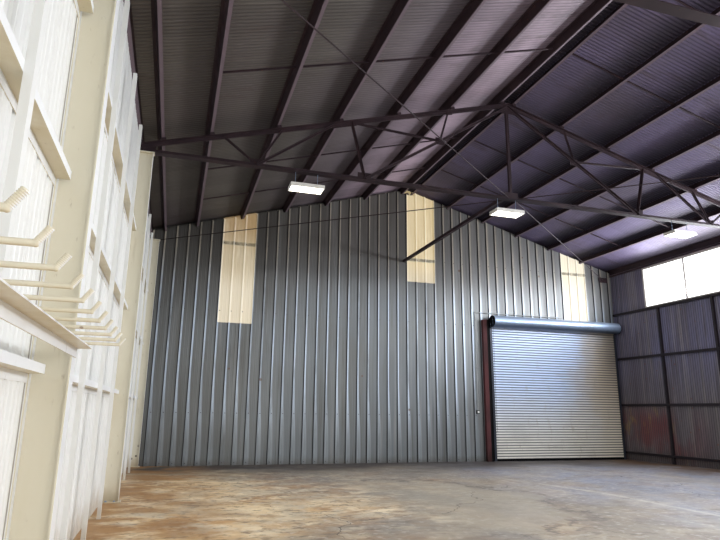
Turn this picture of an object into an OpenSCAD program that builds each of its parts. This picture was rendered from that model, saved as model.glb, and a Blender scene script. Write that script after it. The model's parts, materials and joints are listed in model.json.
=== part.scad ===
// Steel-framed factory building: a single-span gabled shed, built hollow and at full size.
// Lengths are in millimetres. X runs across the hall, Y along it, Z up.
// The origin is the middle of the footprint, at the underside of the floor slab.

/* [Hall] */
// Clear width between the side walls
hall_w = 14840; // [13600:20:16400]
// Spacing of the frames along the hall
bay = 5860; // [5200:20:6600]
// Number of bays
bays = 4; // [2:2:6]
// Height of the roof's underside above the floor, at the side walls
eave_h = 6140; // [6100:20:6600]
// Rise of the roof for each unit of run
roof_slope = 0.282; // [0.26:0.002:0.32]
// Thickness of the concrete floor slab
slab_t = 150; // [100:10:250]

/* [Sheeting] */
// Thickness of a ribbed sheet as modelled
sheet_t = 4; // [3:0.5:6]
// Spacing of the ribs
rib_pitch = 304.8; // [280:0.1:330]
// Height of a rib
rib_h = 32; // [20:1:40]
// Width of a rib at its foot
rib_base = 64; // [50:1:80]
// Width of a rib at its top
rib_top = 24; // [16:1:40]
// Distance from the left wall to the first rib of an end wall
first_rib = 70; // [60:1:100]
// Depth of the corrugated sheets on the roof and the right wall
corrugated_d = 18; // [14:1:24]
// How far the side cladding laps down over the slab's edge
sheet_lap = 60; // [40:5:90]
// Overhang of the roof sheets past the side walls
eave_overhang = 150; // [100:5:200]
// Overhang of the roof sheets past the end cladding
gable_overhang = 60; // [50:5:90]
// Depth of the cavity between the two skins of an end wall
end_cavity = 200; // [170:5:260]
// Distance from the roof's underside down to the top of the end wall lining
lining_drop = 100; // [60:5:140]

/* [Columns] */
// Depth of a column, across the hall
col_d = 250; // [220:5:300]
// Width of a column's flanges
col_w = 150; // [120:5:200]
// Thickness of a column's flanges
col_flange_t = 11; // [8:1:16]
// Thickness of a column's web
col_web_t = 8; // [6:1:12]
// Distance from the roof's underside down to the truss seats, at the side walls
heel_h = 380; // [350:5:420]
// Thickness of the base plates and cap plates
plate_t = 16; // [10:1:25]

/* [Trusses] */
// Leg of the chord angles
chord_leg = 75; // [60:5:90]
// Leg of the web angles
web_leg = 50; // [45:5:65]
// Thickness of the angles
angle_t = 9; // [7:1:12]
// Thickness of two angle legs with the gap between them
pair_t = 28; // [24:1:34]
// Thickness of the gusset plates
gusset_t = 10; // [8:1:12]
// Height of the cleats between the purlins and the upper chords
cleat_h = 50; // [30:5:60]
// Distance from the side wall to the foot where three of the web bars meet
fan_foot = 2050; // [1950:10:2300]
// Distance from the side wall to the foot of the main strut
strut_foot = 4150; // [3900:10:4400]

/* [Purlins] */
// Depth of a purlin
purlin_d = 180; // [150:5:195]
// Width of a purlin's flanges
purlin_w = 50; // [44:2:66]
// Thickness of a purlin as modelled
purlin_t = 6; // [4:0.5:8]
// Number of purlins on each slope between the eave and the ridge
purlins = 6; // [5:1:8]
// Distance from the side wall to the first of them
purlin_edge = 1140; // [1000:10:1300]
// Distance from the ridge to the last of them
purlin_ridge = 220; // [180:10:300]
// Distance from the left wall to the purlin beside the eave, which the right slope lacks
eave_purlin = 315; // [265:5:400]
// Side of the bars that brace the purlins
bridging_w = 26; // [20:1:40]

/* [Wall rails] */
// Depth of the rails on the side walls
girt_d = 100; // [80:5:120]
// Height of a rail's flanges
girt_w = 60; // [45:5:75]
// Thickness of a rail
girt_t = 5; // [4:0.5:8]
// Height of the first rail of the left wall above the floor
left_girt_z = 1610; // [1500:10:1700]
// Spacing of the left wall's rails
left_girt_pitch = 1345; // [1250:5:1400]
// Width of the studs in front of the left wall's rails
stud_w = 80; // [60:5:100]
// Depth of those studs
stud_d = 45; // [30:5:60]
// Height of the right wall's kerb rail, to its middle
kerb_z = 220; // [180:10:260]
// Height of the right wall's first rail
right_girt_z = 1670; // [1500:10:1800]
// Spacing of the right wall's rails
right_girt_pitch = 1460; // [1350:10:1480]
// Side of the right wall's posts and rails
right_bar = 70; // [60:5:90]

/* [Strip window] */
// Distance from the roof's underside down to the window's head
head_drop = 240; // [230:5:300]
// Height of the window
window_h = 1280; // [1100:20:1340]
// Distance from each end wall to the window
window_end = 1420; // [1200:20:1700]
// Number of panes
panes = 13; // [9:1:15]
// Width of the window's bars
window_bar = 50; // [40:2:60]
// Thickness of the glass
glass_t = 8; // [6:1:12]

/* [Roller doors] */
// Distance from the doorway to the right wall
door_side = 170; // [160:10:700]
// Width of the doorway
door_w = 4520; // [3900:10:4560]
// Height of the doorway
door_h = 3940; // [3600:10:4050]
// Height of one slat
slat_h = 77; // [70:1:90]
// Depth of a slat's bulge
slat_d = 12; // [8:1:16]
// Thickness of a slat
slat_t = 4; // [3:0.5:6]
// Width of the guides at the curtain's sides
guide_w = 75; // [60:5:90]
// Depth of the guides
guide_d = 80; // [60:5:90]
// Diameter of the hood over the coil
hood_dia = 360; // [320:10:400]
// Width of the jamb post beside the doorway
jamb_w = 200; // [160:10:240]
// Width of the recessed strip between the jamb post and the guide
jamb_strip_w = 55; // [30:5:70]
// Height of the jamb post
jamb_h = 4170; // [4120:10:4260]

/* [Light strips] */
// Ribs at which the three translucent strips start
strip_ribs = [6, 24, 42];
// Number of rib spaces that a strip is wide
strip_spaces = 3; // [2:1:4]
// Height of the first strip's foot
strip_1_z = 3670; // [3500:10:3900]
// Height of the middle strip's foot
strip_2_z = 5210; // [5000:10:5400]
// Height of the last strip's foot, over the door
strip_3_z = 4080; // [4060:10:4260]

/* [Fittings] */
// Length of a light fitting, across the hall
light_l = 640; // [500:20:800]
// Width of a light fitting
light_w = 330; // [250:10:400]
// Height of a light fitting
light_h = 70; // [50:5:100]
// Distance from the truss down to the top of a light fitting
light_drop = 260; // [180:10:400]
// Distance from the hall's middle to the outer light fittings
light_x = 4420; // [4000:20:4800]
// Diameter of the bracing rods
rod_dia = 20; // [14:1:30]
// Side of the struts between the end trusses and the end walls
strut_w = 75; // [60:5:90]
// Height of the storage rail's underside above the floor
rail_z = 1730; // [1500:10:1800]
// Height of the storage rail
rail_h = 72; // [60:2:100]
// Width of the storage rail
rail_w = 100; // [80:5:120]
// Thickness of the storage rail
rail_t = 8; // [6:1:10]
// Spacing of the pegs along the rail
peg_pitch = 288; // [250:2:400]
// Diameter of a peg
peg_dia = 20; // [16:1:26]
// Length of a peg to its bend
peg_l = 278; // [220:2:340]
// Length of a peg's upturned end
peg_tip = 55; // [40:5:90]
// Angle by which a peg's end turns up
peg_bend = 55; // [40:5:70]

/* [Hidden] */

round_fn = 48;
small_fn = 24;
// Rails and posts inside the end walls
end_post = 100;
end_rail_low = 1250;
end_rail_high = 5850;
rafter_d = 200;
// Depth of the strip window's bars
window_d = 40;
// Width of each wing of the ridge cap, and the trims' depth and thickness
cap_w = 300;
trim_h = 150;
trim_t = 4;
// Distance from the truss seats down to the tops of the studs on the left wall
stud_drop = 200;
// Middle of the end bays' struts and of the middle row of lights, from the hall's middle
strut_x = -130;
light_rim = 16;
// Leg of the angle that hangs at a truss's middle
hanger_w = 60;
// Distances from the side wall to the heads of the three bars over the fan's foot, and of the
// bars over the main strut's foot
fan_heads = [1430, 2500, 3520];
post_head = 3870;
// Width of a purlin's cleat, along the slope
cleat_w = 80;
// Roller door: bar under the curtain, lap of the curtain in its guides
bottom_bar_h = 60;
curtain_lap = 50;
jamb_d = 120;
jamb_recess = 70;
chain_dia = 10;
chain_z = 900;
wheel_dia = 150;
wheel_t = 20;
control_gap = 210;
control_z = 1400;
conduit_top = 4390;
pipe_dia = 24;
pipe_run = 3100;
box_w = 90;
knob_dia = 56;
// Clearance of a piece that lies against another, and the plates that hold two of the rods
seat_gap = 0.3;
anchor_w = 340;

half_w = hall_w / 2;
hall_l = bay * bays;
half_l = hall_l / 2;
roof_a = atan(roof_slope);
purlin_rise = purlin_d / cos(roof_a);
seat_h = eave_h - heel_h;
head_z = eave_h - head_drop;
sill_z = head_z - window_h;
// Top of the rail over the strip window, and how far it stops short to clear the upper chords
head_rail_top = eave_h - purlin_rise - 2 * angle_t;
head_rail_trim = max(0, chord_leg - col_w / 2) + seat_gap;
end_t = sheet_t + end_cavity;
outer_y = half_l + end_t;
roof_len_y = 2 * (outer_y + sheet_t + rib_h + gable_overhang);
strip_feet = [strip_1_z, strip_2_z, strip_3_z];
door_r = half_w - door_side;
door_l = door_r - door_w;
curtain_y = half_l - rib_h - guide_d / 2;
corner_col_y = half_l - rib_h - col_w / 2;
hood_y = curtain_y - hood_dia / 2 + slat_d;
hood_z = door_h + hood_dia / 2;

// Height of the roof's underside above the floor
function roof_z(x) = eave_h + roof_slope * (half_w - abs(x));
// Height of the line on which the purlins rest, and of the tops of the upper chords
function seat_z(x) = roof_z(x) - purlin_rise;
function chord_z(x) = seat_z(x) - cleat_h / cos(roof_a);
purlin_step = (half_w - purlin_edge - purlin_ridge) / (purlins - 1);
function purlin_x(i) = half_w - purlin_edge - i * purlin_step;
// Distance by which a purlin's foot lies nearer the ridge than its top
foot_shift = purlin_d * sin(roof_a) + purlin_w / 2 * cos(roof_a);
right_purlin_xs = [for (i = [0 : purlins - 1]) purlin_x(i)];
left_purlin_xs = concat([half_w - eave_purlin], right_purlin_xs);

function reverse(list) = [for (i = [len(list) - 1 : -1 : 0]) list[i]];

// Outline of a ribbed sheet, with ribs towards +Y and the pans on Y = 0
function rib_line(length, first) = concat(
    [[0, 0]],
    [for (s = [first : rib_pitch : length - rib_base / 2 - 1]) each [
        [s - rib_base / 2, 0], [s - rib_top / 2, rib_h],
        [s + rib_top / 2, rib_h], [s + rib_base / 2, 0]
    ]],
    [[length, 0]]
);

module ribbed_sheet(length, first, height) {
    line = rib_line(length, first);
    back = [for (p = reverse(line)) [p[0], p[1] - sheet_t]];
    linear_extrude(height = height) polygon(concat(line, back));
}

module on_floor() {
    translate([0, 0, slab_t]) children();
}

module both_sides() {
    children();
    mirror([1, 0, 0]) children();
}

module both_ends() {
    children();
    mirror([0, 1, 0]) children();
}

// A bar of T section in the XZ plane from p to q, its flange on the line and its stem below
module tee(p, q, leg) {
    d = q - p;
    translate([p[0], 0, p[1]])
    rotate([0, -atan2(d[1], d[0]), 0]) {
        translate([0, -leg, -angle_t]) cube([norm(d), 2 * leg, angle_t]);
        translate([0, -pair_t / 2 - 0.5, -leg]) cube([norm(d), pair_t + 1, leg - 1]);
    }
}

// A pair of small angles, which run a little past the points p and q. Each step of slim takes
// a little off the section, as the lighter bars of a truss have.
module web_bar(p, q, slim) {
    d = q - p;
    leg = web_leg - 4 * slim;
    pair = pair_t - 1 - slim;
    over = web_leg / 4;
    translate([p[0], 0, p[1]])
    rotate([0, -atan2(d[1], d[0]), 0]) translate([-over, 0, -leg / 2]) {
        translate([0, -pair / 2, 0]) cube([norm(d) + 2 * over, pair, leg]);
        translate([0, -leg, leg - angle_t]) cube([norm(d) + 2 * over, 2 * leg, angle_t]);
    }
}

module gusset(x, z, w, h) {
    translate([x - w / 2, -gusset_t / 2, z - h / 2]) cube([w, gusset_t, h]);
}

// A gusset square to the slope, hung from the upper chord's flange at the given place
module rafter_gusset(x, w, h) {
    translate([x, 0, chord_z(x)]) rotate([0, -roof_a, 0])
    translate([-w / 2, -gusset_t / 2, -h]) cube([w, gusset_t, h - angle_t / 2]);
}

// A cleat on the upper chord, with its top on the purlins' seat line
module cleat(x, w) {
    translate([-x, 0, seat_z(x)]) rotate([0, -roof_a, 0])
    translate([-w / 2, -chord_leg, -cleat_h - 1]) cube([w, 2 * chord_leg, cleat_h + 1]);
}

module i_column(height) {
    translate([0, -col_w / 2, 0]) cube([col_flange_t, col_w, height]);
    translate([col_d - col_flange_t, -col_w / 2, 0]) cube([col_flange_t, col_w, height]);
    translate([0, -col_web_t / 2, 0]) cube([col_d, col_web_t, height]);
}

module column(y, foot_w, height) {
    translate([-half_w, y, 0]) {
        i_column(height);
        translate([0, -foot_w / 2, 0]) cube([col_d + 30, foot_w, plate_t]);
        translate([0, -col_w / 2, height - plate_t]) cube([col_d + 20, col_w, plate_t]);
    }
}

// Middle of the upper chord's stem at a given distance from the side wall
function head(edge) = [edge - half_w, chord_z(half_w - edge) - chord_leg / 2];

// The lower member of a truss is flat, and the upper one follows the roof
module half_truss() {
    heel = [-half_w, chord_z(half_w)];
    apex = [0, chord_z(0)];
    tie_z = seat_h + chord_leg / 2;
    foot_1 = [fan_foot - half_w, tie_z];
    foot_2 = [strut_foot - half_w, tie_z];
    crown = [0, apex[1] - chord_leg];
    middle = (foot_2 + crown) / 2;
    ridge_head = half_w - purlin_x(purlins - 2);
    tee(heel, apex, chord_leg);
    translate([-half_w + 20, -chord_leg, seat_h]) cube([half_w - 20, 2 * chord_leg, angle_t]);
    translate([-half_w + 20, -pair_t / 2, seat_h]) cube([half_w - 20, pair_t, chord_leg]);
    web_bar(foot_2, crown, 0);
    web_bar(head(post_head), foot_2, 1);
    web_bar(foot_1, head(fan_heads[2]), 2);
    web_bar(foot_1, head(fan_heads[1]), 3);
    web_bar(head(fan_heads[0]), foot_1, 4);
    web_bar(head(post_head), middle, 4);
    web_bar(middle, head(ridge_head), 5);
    gusset(foot_1[0], tie_z + 40, 240, 150);
    gusset(foot_2[0], tie_z + 50, 280, 170);
    gusset(middle[0], middle[1], 200, 150);
    rafter_gusset((post_head + fan_heads[2]) / 2 - half_w, 520, chord_leg + 30);
    rafter_gusset(ridge_head - half_w, 150, chord_leg + 20);
    translate([-half_w + 30, -gusset_t / 2, seat_h + 20])
    cube([250, gusset_t, heel_h - purlin_rise - cleat_h - 18]);
}

// One truss, with an angle that hangs at its middle
module truss(y) {
    h = chord_z(0) - seat_h - 1.5 * chord_leg;
    on_floor() translate([0, y, 0]) {
        both_sides() half_truss();
        translate([-hanger_w / 2, pair_t / 2 - 1, seat_h + chord_leg / 2]) {
            cube([hanger_w, angle_t, h]);
            cube([angle_t, hanger_w, h]);
        }
        gusset(0, chord_z(180) - 90, 360, 170);
        gusset(0, seat_h + 90, 300, 160);
        for (x = left_purlin_xs) cleat(x - foot_shift, cleat_w);
        mirror([1, 0, 0]) for (x = right_purlin_xs) cleat(x - foot_shift, cleat_w);
        both_sides() cleat(half_w - purlin_w / 2, purlin_w);
    }
}

// A purlin of Z section that stands square to the slope, its top on the roof's underside
module purlin(x) {
    w = purlin_w;
    d = purlin_d;
    t = purlin_t;
    translate([-x, 0, roof_z(x)])
    rotate([0, -roof_a, 0])
    rotate([90, 0, 0])
    linear_extrude(height = 2 * outer_y, center = true)
    polygon([
        [-t / 2, 0], [-w, 0], [-w, -t], [-t / 2, -t], [-t / 2, -d],
        [w, -d], [w, -d + t], [t / 2, -d + t], [t / 2, 0]
    ]);
}

// Space that one slope's purlins and eave strut need through the end wall's lining, which also
// stops short of the ridge between the last two purlins
module purlin_slots(xs) {
    clear = 4;
    y = half_l - rib_h - 20;
    depth = rib_h + sheet_t + 40;
    for (x = xs)
        translate([-x, 0, roof_z(x)])
        rotate([0, -roof_a, 0])
        translate([-purlin_w - clear, y, -purlin_d - clear])
        cube([2 * (purlin_w + clear), depth, purlin_d + 3 * clear]);
    translate([-half_w - 1, y, seat_z(half_w) - clear])
    cube([purlin_w + clear + 1, depth, 2 * purlin_d]);
    translate([-purlin_ridge, y, seat_z(purlin_ridge) - clear])
    cube([purlin_ridge + 1, depth, 2 * purlin_d]);
}

module all_purlin_slots() {
    purlin_slots(left_purlin_xs);
    mirror([1, 0, 0]) purlin_slots(right_purlin_xs);
}

// Outline of an end wall, its top a given drop below the roof's underside
module gable_outline(drop) {
    polygon([
        [-half_w, 0], [half_w, 0], [half_w, eave_h - drop],
        [0, roof_z(0) - drop], [-half_w, eave_h - drop]
    ]);
}

module gable(drop, y, depth) {
    translate([0, y + depth, 0]) rotate([90, 0, 0])
    linear_extrude(height = depth) gable_outline(drop);
}

function strip_x(i) = -half_w + first_rib + strip_ribs[i] * rib_pitch;

module strip_holes(y, depth) {
    for (i = [0 : len(strip_ribs) - 1])
        translate([strip_x(i), y, strip_feet[i]])
        cube([strip_spaces * rib_pitch, depth, eave_h + half_w]);
}

module door_hole(y, depth) {
    translate([door_l, y, -1]) cube([door_w, depth, door_h + 1]);
}

// Joints between the sheets, or the bars, over the doorway and those beside it
module door_joints(y, depth) {
    for (x = [door_l, door_r])
        translate([x - seat_gap / 2, y, door_h - 1]) cube([seat_gap, depth, roof_z(0)]);
}

module lining_sheet() {
    translate([-half_w, half_l, 0]) mirror([0, 1, 0])
    ribbed_sheet(hall_w, first_rib, roof_z(0));
}

module wall_lining() {
    y = half_l - rib_h - 1;
    depth = rib_h + sheet_t + 2;
    difference() {
        intersection() {
            lining_sheet();
            gable(lining_drop, y, depth);
        }
        strip_holes(y, depth);
        door_hole(y, depth);
        door_joints(y, depth);
        all_purlin_slots();
    }
}

module lining_strips() {
    y = half_l - rib_h - 1;
    depth = rib_h + sheet_t + 2;
    difference() {
        intersection() {
            lining_sheet();
            gable(lining_drop, y, depth);
            strip_holes(y, depth);
        }
        all_purlin_slots();
    }
}

module cladding_sheet() {
    translate([-half_w, outer_y + sheet_t, -sheet_lap])
    ribbed_sheet(hall_w, first_rib, roof_z(0) + sheet_lap);
}

module cladding_outline() {
    y = outer_y - 1;
    depth = rib_h + sheet_t + 2;
    union() {
        gable(0, y, depth);
        translate([-half_w, y, -sheet_lap - 1]) cube([hall_w, depth, sheet_lap + 2]);
    }
}

module wall_cladding() {
    y = outer_y - 1;
    depth = rib_h + sheet_t + 2;
    difference() {
        intersection() {
            cladding_sheet();
            cladding_outline();
        }
        strip_holes(y, depth);
        translate([door_l, y, -sheet_lap - 2]) cube([door_w, depth, door_h + sheet_lap + 2]);
        door_joints(y, depth);
    }
}

module cladding_strips() {
    y = outer_y - 1;
    depth = rib_h + sheet_t + 2;
    intersection() {
        cladding_sheet();
        cladding_outline();
        strip_holes(y, depth);
    }
}

// Posts, rails and rafters between the two skins of an end wall, fused where they meet but for
// the bars over the doorway
module end_frame_outline() {
    post_xs = [-half_w, -half_w / 2 - end_post / 2, -end_post / 2, door_l - end_post, door_r];
    rafter_h = rafter_d / cos(roof_a);
    intersection() {
        gable_outline(purlin_rise);
        union() {
            for (x = post_xs) translate([x, 0]) square([end_post, roof_z(0)]);
            translate([-half_w, end_rail_low]) square([half_w + door_l, end_post]);
            for (z = [door_h, end_rail_high]) translate([-half_w, z]) square([hall_w, end_post]);
            difference() {
                gable_outline(0);
                gable_outline(purlin_rise + rafter_h);
            }
        }
    }
}

module end_frame() {
    translate([0, half_l + end_t, 0]) rotate([90, 0, 0])
    linear_extrude(height = end_cavity) difference() {
        end_frame_outline();
        for (x = [door_l, door_r]) translate([x - seat_gap / 2, 0]) square([seat_gap, roof_z(0)]);
    }
}

module floor_slab() {
    color("darkgray")
    translate([-half_w, -outer_y, 0]) cube([hall_w, 2 * outer_y, slab_t]);
}

module left_columns() {
    color("ivory") on_floor() {
        for (k = [1 : bays - 1]) column(half_l - k * bay, col_w + 60, seat_h);
        for (y = [corner_col_y, -corner_col_y]) column(y, col_w, seat_h + angle_t);
    }
}

module right_columns() {
    color("dimgray") on_floor() mirror([1, 0, 0])
    for (k = [1 : bays - 1]) column(half_l - k * bay, col_w + 60, seat_h);
}

module roof_truss_far() {
    color("saddlebrown") truss(half_l - bay);
}

module roof_truss_middle() {
    color("saddlebrown") for (k = [2 : 1 : bays - 2]) truss(half_l - k * bay);
}

module roof_truss_near() {
    color("saddlebrown") truss(bay - half_l);
}

module left_purlins() {
    color("sienna") on_floor() for (x = left_purlin_xs) purlin(x);
}

module right_purlins() {
    color("sienna") on_floor() mirror([1, 0, 0]) for (x = right_purlin_xs) purlin(x);
}

// A channel on the ends of the trusses, its back to the wall sheets
module eave_strut() {
    translate([-half_w, 0, 0]) rotate([90, 0, 0])
    linear_extrude(height = 2 * outer_y, center = true)
    polygon([
        [0, seat_z(half_w)], [purlin_w, seat_z(half_w - purlin_w)],
        [purlin_w, seat_z(half_w - purlin_w) + purlin_t],
        [purlin_t, seat_z(half_w - purlin_t) + purlin_t],
        [purlin_t, roof_z(half_w - purlin_t) - purlin_t],
        [purlin_w, roof_z(half_w - purlin_w) - purlin_t],
        [purlin_w, roof_z(half_w - purlin_w)], [0, roof_z(half_w)]
    ]);
}

module eave_struts() {
    color("saddlebrown") on_floor() both_sides() eave_strut();
}

// One bar from purlin to purlin at mid depth, clear of their webs
module slope_bars(y) {
    for (i = [0 : purlins - 2]) {
        x0 = purlin_x(i);
        run = purlin_step / cos(roof_a) - purlin_t;
        translate([-x0, y, roof_z(x0)]) rotate([0, -roof_a, 0])
        translate([purlin_t / 2, -bridging_w / 2, -purlin_d / 2 - bridging_w / 2])
        cube([run, bridging_w, bridging_w]);
    }
}

module purlin_bridging() {
    color("saddlebrown") on_floor() both_sides()
    for (k = [0 : bays - 1]) for (third = [1, 2]) slope_bars(half_l - (k + third / 3) * bay);
}

module slope_sheet() {
    run = half_w + eave_overhang;
    translate([0, roof_len_y / 2, 0]) rotate([90, 0, 0])
    linear_extrude(height = roof_len_y)
    polygon([
        [0, roof_z(0)], [-run, roof_z(run)],
        [-run, roof_z(run) + corrugated_d], [0, roof_z(0) + corrugated_d]
    ]);
}

module left_roof_sheets() {
    color("dimgray") on_floor() slope_sheet();
}

module right_roof_sheets() {
    color("dimgray") on_floor() mirror([1, 0, 0]) slope_sheet();
}

module ridge_cap() {
    z = corrugated_d;
    w = cap_w;
    color("slategray") on_floor() translate([0, roof_len_y / 2, 0]) rotate([90, 0, 0])
    linear_extrude(height = roof_len_y)
    polygon([
        [-w, roof_z(w) + z], [0, roof_z(0) + z], [w, roof_z(w) + z],
        [w, roof_z(w) + z + sheet_t], [0, roof_z(0) + z + sheet_t + 2], [-w, roof_z(w) + z + sheet_t]
    ]);
}

// A rod between two points of one height
module rod(p, q) {
    d = q - p;
    translate(p) rotate([0, 0, atan2(d[1], d[0])]) rotate([0, 90, 0])
    cylinder(d = rod_dia, h = norm(d), $fn = small_fn);
}

// Rods lie on the lower flanges of the trusses and on the corner columns. On the right they end
// at plates on the end walls.
module bracing_rods() {
    z = seat_h + angle_t + rod_dia / 2 + seat_gap;
    ty = half_l - bay;
    off = [chord_leg, pair_t / 2 + rod_dia];
    plate_y = half_l - rib_h - plate_t - seat_gap;
    color("dimgray") on_floor() both_ends() {
        both_sides() rod([-off[0], ty - off[1], z], [col_d - half_w, ty - bay + off[1], z]);
        rod([-off[0], ty + off[1], z], [col_d - half_w, corner_col_y, z]);
        rod([off[0], ty + off[1], z], [half_w - anchor_w, plate_y + plate_t / 2, z]);
        translate([half_w - 1.5 * anchor_w, plate_y, z - anchor_w / 4])
        cube([anchor_w, plate_t, anchor_w / 2]);
    }
}

// Struts from the end trusses to the end walls, over the rods
module end_bay_struts() {
    z = seat_h + angle_t + rod_dia + 2 * seat_gap;
    y0 = half_l - bay + pair_t / 2;
    color("saddlebrown") on_floor() both_ends()
    translate([strut_x - strut_w / 2, y0, z]) cube([strut_w, half_l - y0, strut_w]);
}

module left_wall_sheets() {
    length = 2 * (outer_y + sheet_t);
    top = roof_z(half_w + sheet_t + rib_h);
    color("white") on_floor()
    translate([-half_w - sheet_t, -length / 2, -sheet_lap]) rotate([0, 0, 90])
    ribbed_sheet(length, first_rib, top + sheet_lap);
}

// A rail of Z section with its web level, its outer flange down and its inner flange up
module z_rail(z, length) {
    d = girt_d;
    w = girt_w;
    t = girt_t;
    translate([-half_w, length / 2, z]) rotate([90, 0, 0])
    linear_extrude(height = length)
    polygon([[0, t], [0, -w], [t, -w], [t, 0], [d, 0], [d, w], [d - t, w], [d - t, t]]);
}

// Ends of the rails of a bay, between one column and the next
function bay_far(k) = k == 0 ? corner_col_y - col_w / 2 : half_l - k * bay - col_w / 2;
function bay_near(k) = -bay_far(bays - 1 - k);

module left_wall_girts() {
    color("antiquewhite") on_floor()
    for (k = [0 : bays - 1]) translate([0, (bay_far(k) + bay_near(k)) / 2, 0]) {
        for (i = [0 : 2]) z_rail(left_girt_z + i * left_girt_pitch, bay_far(k) - bay_near(k));
    }
}

// Channels that stand in front of the rails, at the quarter points of each bay
module left_wall_studs() {
    t = girt_t;
    color("white") on_floor()
    for (k = [0 : bays - 1]) for (q = [1 : 3])
        translate([-half_w + girt_d, half_l - (k + q / 4) * bay, 0])
        linear_extrude(height = seat_h - stud_drop)
        polygon([
            [0, -stud_w / 2], [stud_d, -stud_w / 2], [stud_d, stud_w / 2], [0, stud_w / 2],
            [0, stud_w / 2 - t], [stud_d - t, stud_w / 2 - t],
            [stud_d - t, t - stud_w / 2], [0, t - stud_w / 2]
        ]);
}

module right_wall_sheets() {
    length = 2 * (outer_y + sheet_t);
    top = roof_z(half_w + corrugated_d);
    color("dimgray") on_floor() difference() {
        translate([half_w, -length / 2, -sheet_lap])
        cube([corrugated_d, length, top + sheet_lap]);
        translate([half_w - 1, -half_l + window_end, sill_z])
        cube([corrugated_d + 2, hall_l - 2 * window_end, head_z - sill_z]);
    }
}

// Rails and posts of one bay, fused where they cross
module right_bay_frame(y0, y1) {
    b = right_bar;
    levels = [
        kerb_z - b / 2, right_girt_z - b / 2, right_girt_z + right_girt_pitch - b / 2, sill_z - b
    ];
    for (z = levels) translate([half_w - b, y0, z]) cube([b, y1 - y0, b]);
    translate([half_w - b, y0 + head_rail_trim, head_z])
    cube([b, y1 - y0 - 2 * head_rail_trim, head_rail_top - head_z]);
    for (third = [1, 2])
        translate([half_w - b, y0 + (y1 - y0) * third / 3 - b / 2, 0]) cube([b, b, sill_z]);
}

module right_wall_frame() {
    color("saddlebrown") on_floor()
    for (k = [0 : bays - 1]) {
        far = half_l - k * bay - (k == 0 ? rib_h : col_w / 2);
        near = half_l - (k + 1) * bay + (k == bays - 1 ? rib_h : col_w / 2);
        right_bay_frame(near, far);
    }
}

module window_bars() {
    length = hall_l - 2 * window_end;
    pitch = (length - window_bar) / panes;
    for (z = [sill_z, head_z - window_bar])
        translate([half_w, -length / 2, z]) cube([window_d, length, window_bar]);
    for (i = [0 : panes])
        translate([half_w, -length / 2 + i * pitch, sill_z])
        cube([window_d, window_bar, head_z - sill_z]);
}

module right_window_frame() {
    color("gray") on_floor() window_bars();
}

module right_window_glass() {
    length = hall_l - 2 * window_end;
    pitch = (length - window_bar) / panes;
    color("lightcyan", 0.5) on_floor()
    for (i = [0 : panes - 1])
        translate([
            half_w + (window_d - glass_t) / 2,
            -length / 2 + i * pitch + window_bar,
            sill_z + window_bar
        ])
        cube([glass_t, pitch - window_bar, head_z - sill_z - 2 * window_bar]);
}

module far_wall_frame() {
    color("saddlebrown") on_floor() end_frame();
}

module near_wall_frame() {
    color("saddlebrown") on_floor() mirror([0, 1, 0]) end_frame();
}

module far_wall_lining() {
    color("slategray") on_floor() wall_lining();
}

module near_wall_lining() {
    color("slategray") on_floor() mirror([0, 1, 0]) wall_lining();
}

module far_wall_cladding() {
    color("slategray") on_floor() wall_cladding();
}

module near_wall_cladding() {
    color("slategray") on_floor() mirror([0, 1, 0]) wall_cladding();
}

module lining_light_strips() {
    color("khaki") on_floor() both_ends() lining_strips();
}

module cladding_light_strips() {
    color("khaki") on_floor() both_ends() cladding_strips();
}

// Interlocking slats, drawn as one run of shallow bulges
module curtain() {
    slats = floor((door_h - bottom_bar_h) / slat_h);
    z0 = bottom_bar_h;
    top = z0 + slats * slat_h;
    front = concat([for (i = [0 : slats - 1]) each [
        [0, z0 + i * slat_h], [-slat_d, z0 + (i + 0.2) * slat_h], [-slat_d, z0 + (i + 0.8) * slat_h]
    ]], [[0, top], [0, door_h + hood_dia / 4]]);
    back = [for (p = reverse(front)) [p[0] + slat_t, p[1]]];
    translate([door_l - curtain_lap, curtain_y, 0])
    rotate([90, 0, 90])
    linear_extrude(height = door_w + 2 * curtain_lap)
    polygon(concat(front, back));
}

module door_curtains() {
    color("lightgray") on_floor() both_ends() curtain();
}

module door_bottom_bars() {
    color("black") on_floor() both_ends()
    translate([door_l - curtain_lap, curtain_y - slat_d, 0])
    cube([door_w + 2 * curtain_lap, 2 * slat_d + slat_t, bottom_bar_h]);
}

module hood() {
    r = hood_dia / 2;
    length = door_w + 2 * curtain_lap;
    translate([door_l - curtain_lap, hood_y, hood_z])
    rotate([0, 90, 0])
    difference() {
        cylinder(r = r, h = length, $fn = round_fn);
        translate([0, 0, -1]) cylinder(r = r - sheet_t, h = length + 2, $fn = round_fn);
        translate([0, 0, -1]) cube([2 * r, 2 * r, length + 2]);
    }
}

module door_hoods() {
    color("silver") on_floor() both_ends() hood();
}

// Plates that carry the hood and the coil, round at the front and square at the wall
module door_end_plates() {
    r = hood_dia / 2;
    color("black") on_floor() both_ends()
    for (x = [door_l - curtain_lap - plate_t, door_r + curtain_lap])
        translate([x, hood_y, hood_z]) rotate([90, 0, 90]) linear_extrude(height = plate_t)
        union() {
            circle(r = r, $fn = round_fn);
            translate([0, -r]) square([half_l - rib_h - hood_y, 1.6 * r]);
        }
}

// A channel on each side of the doorway, open towards the curtain
module guide() {
    slot = 2 * slat_d + slat_t + 8;
    depth = guide_w - 12;
    difference() {
        translate([-guide_w, -guide_d / 2, 0]) cube([guide_w, guide_d, door_h]);
        translate([-depth, -slot / 2 + slat_t / 2, -1]) cube([depth + 1, slot, door_h + 2]);
    }
}

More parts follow.
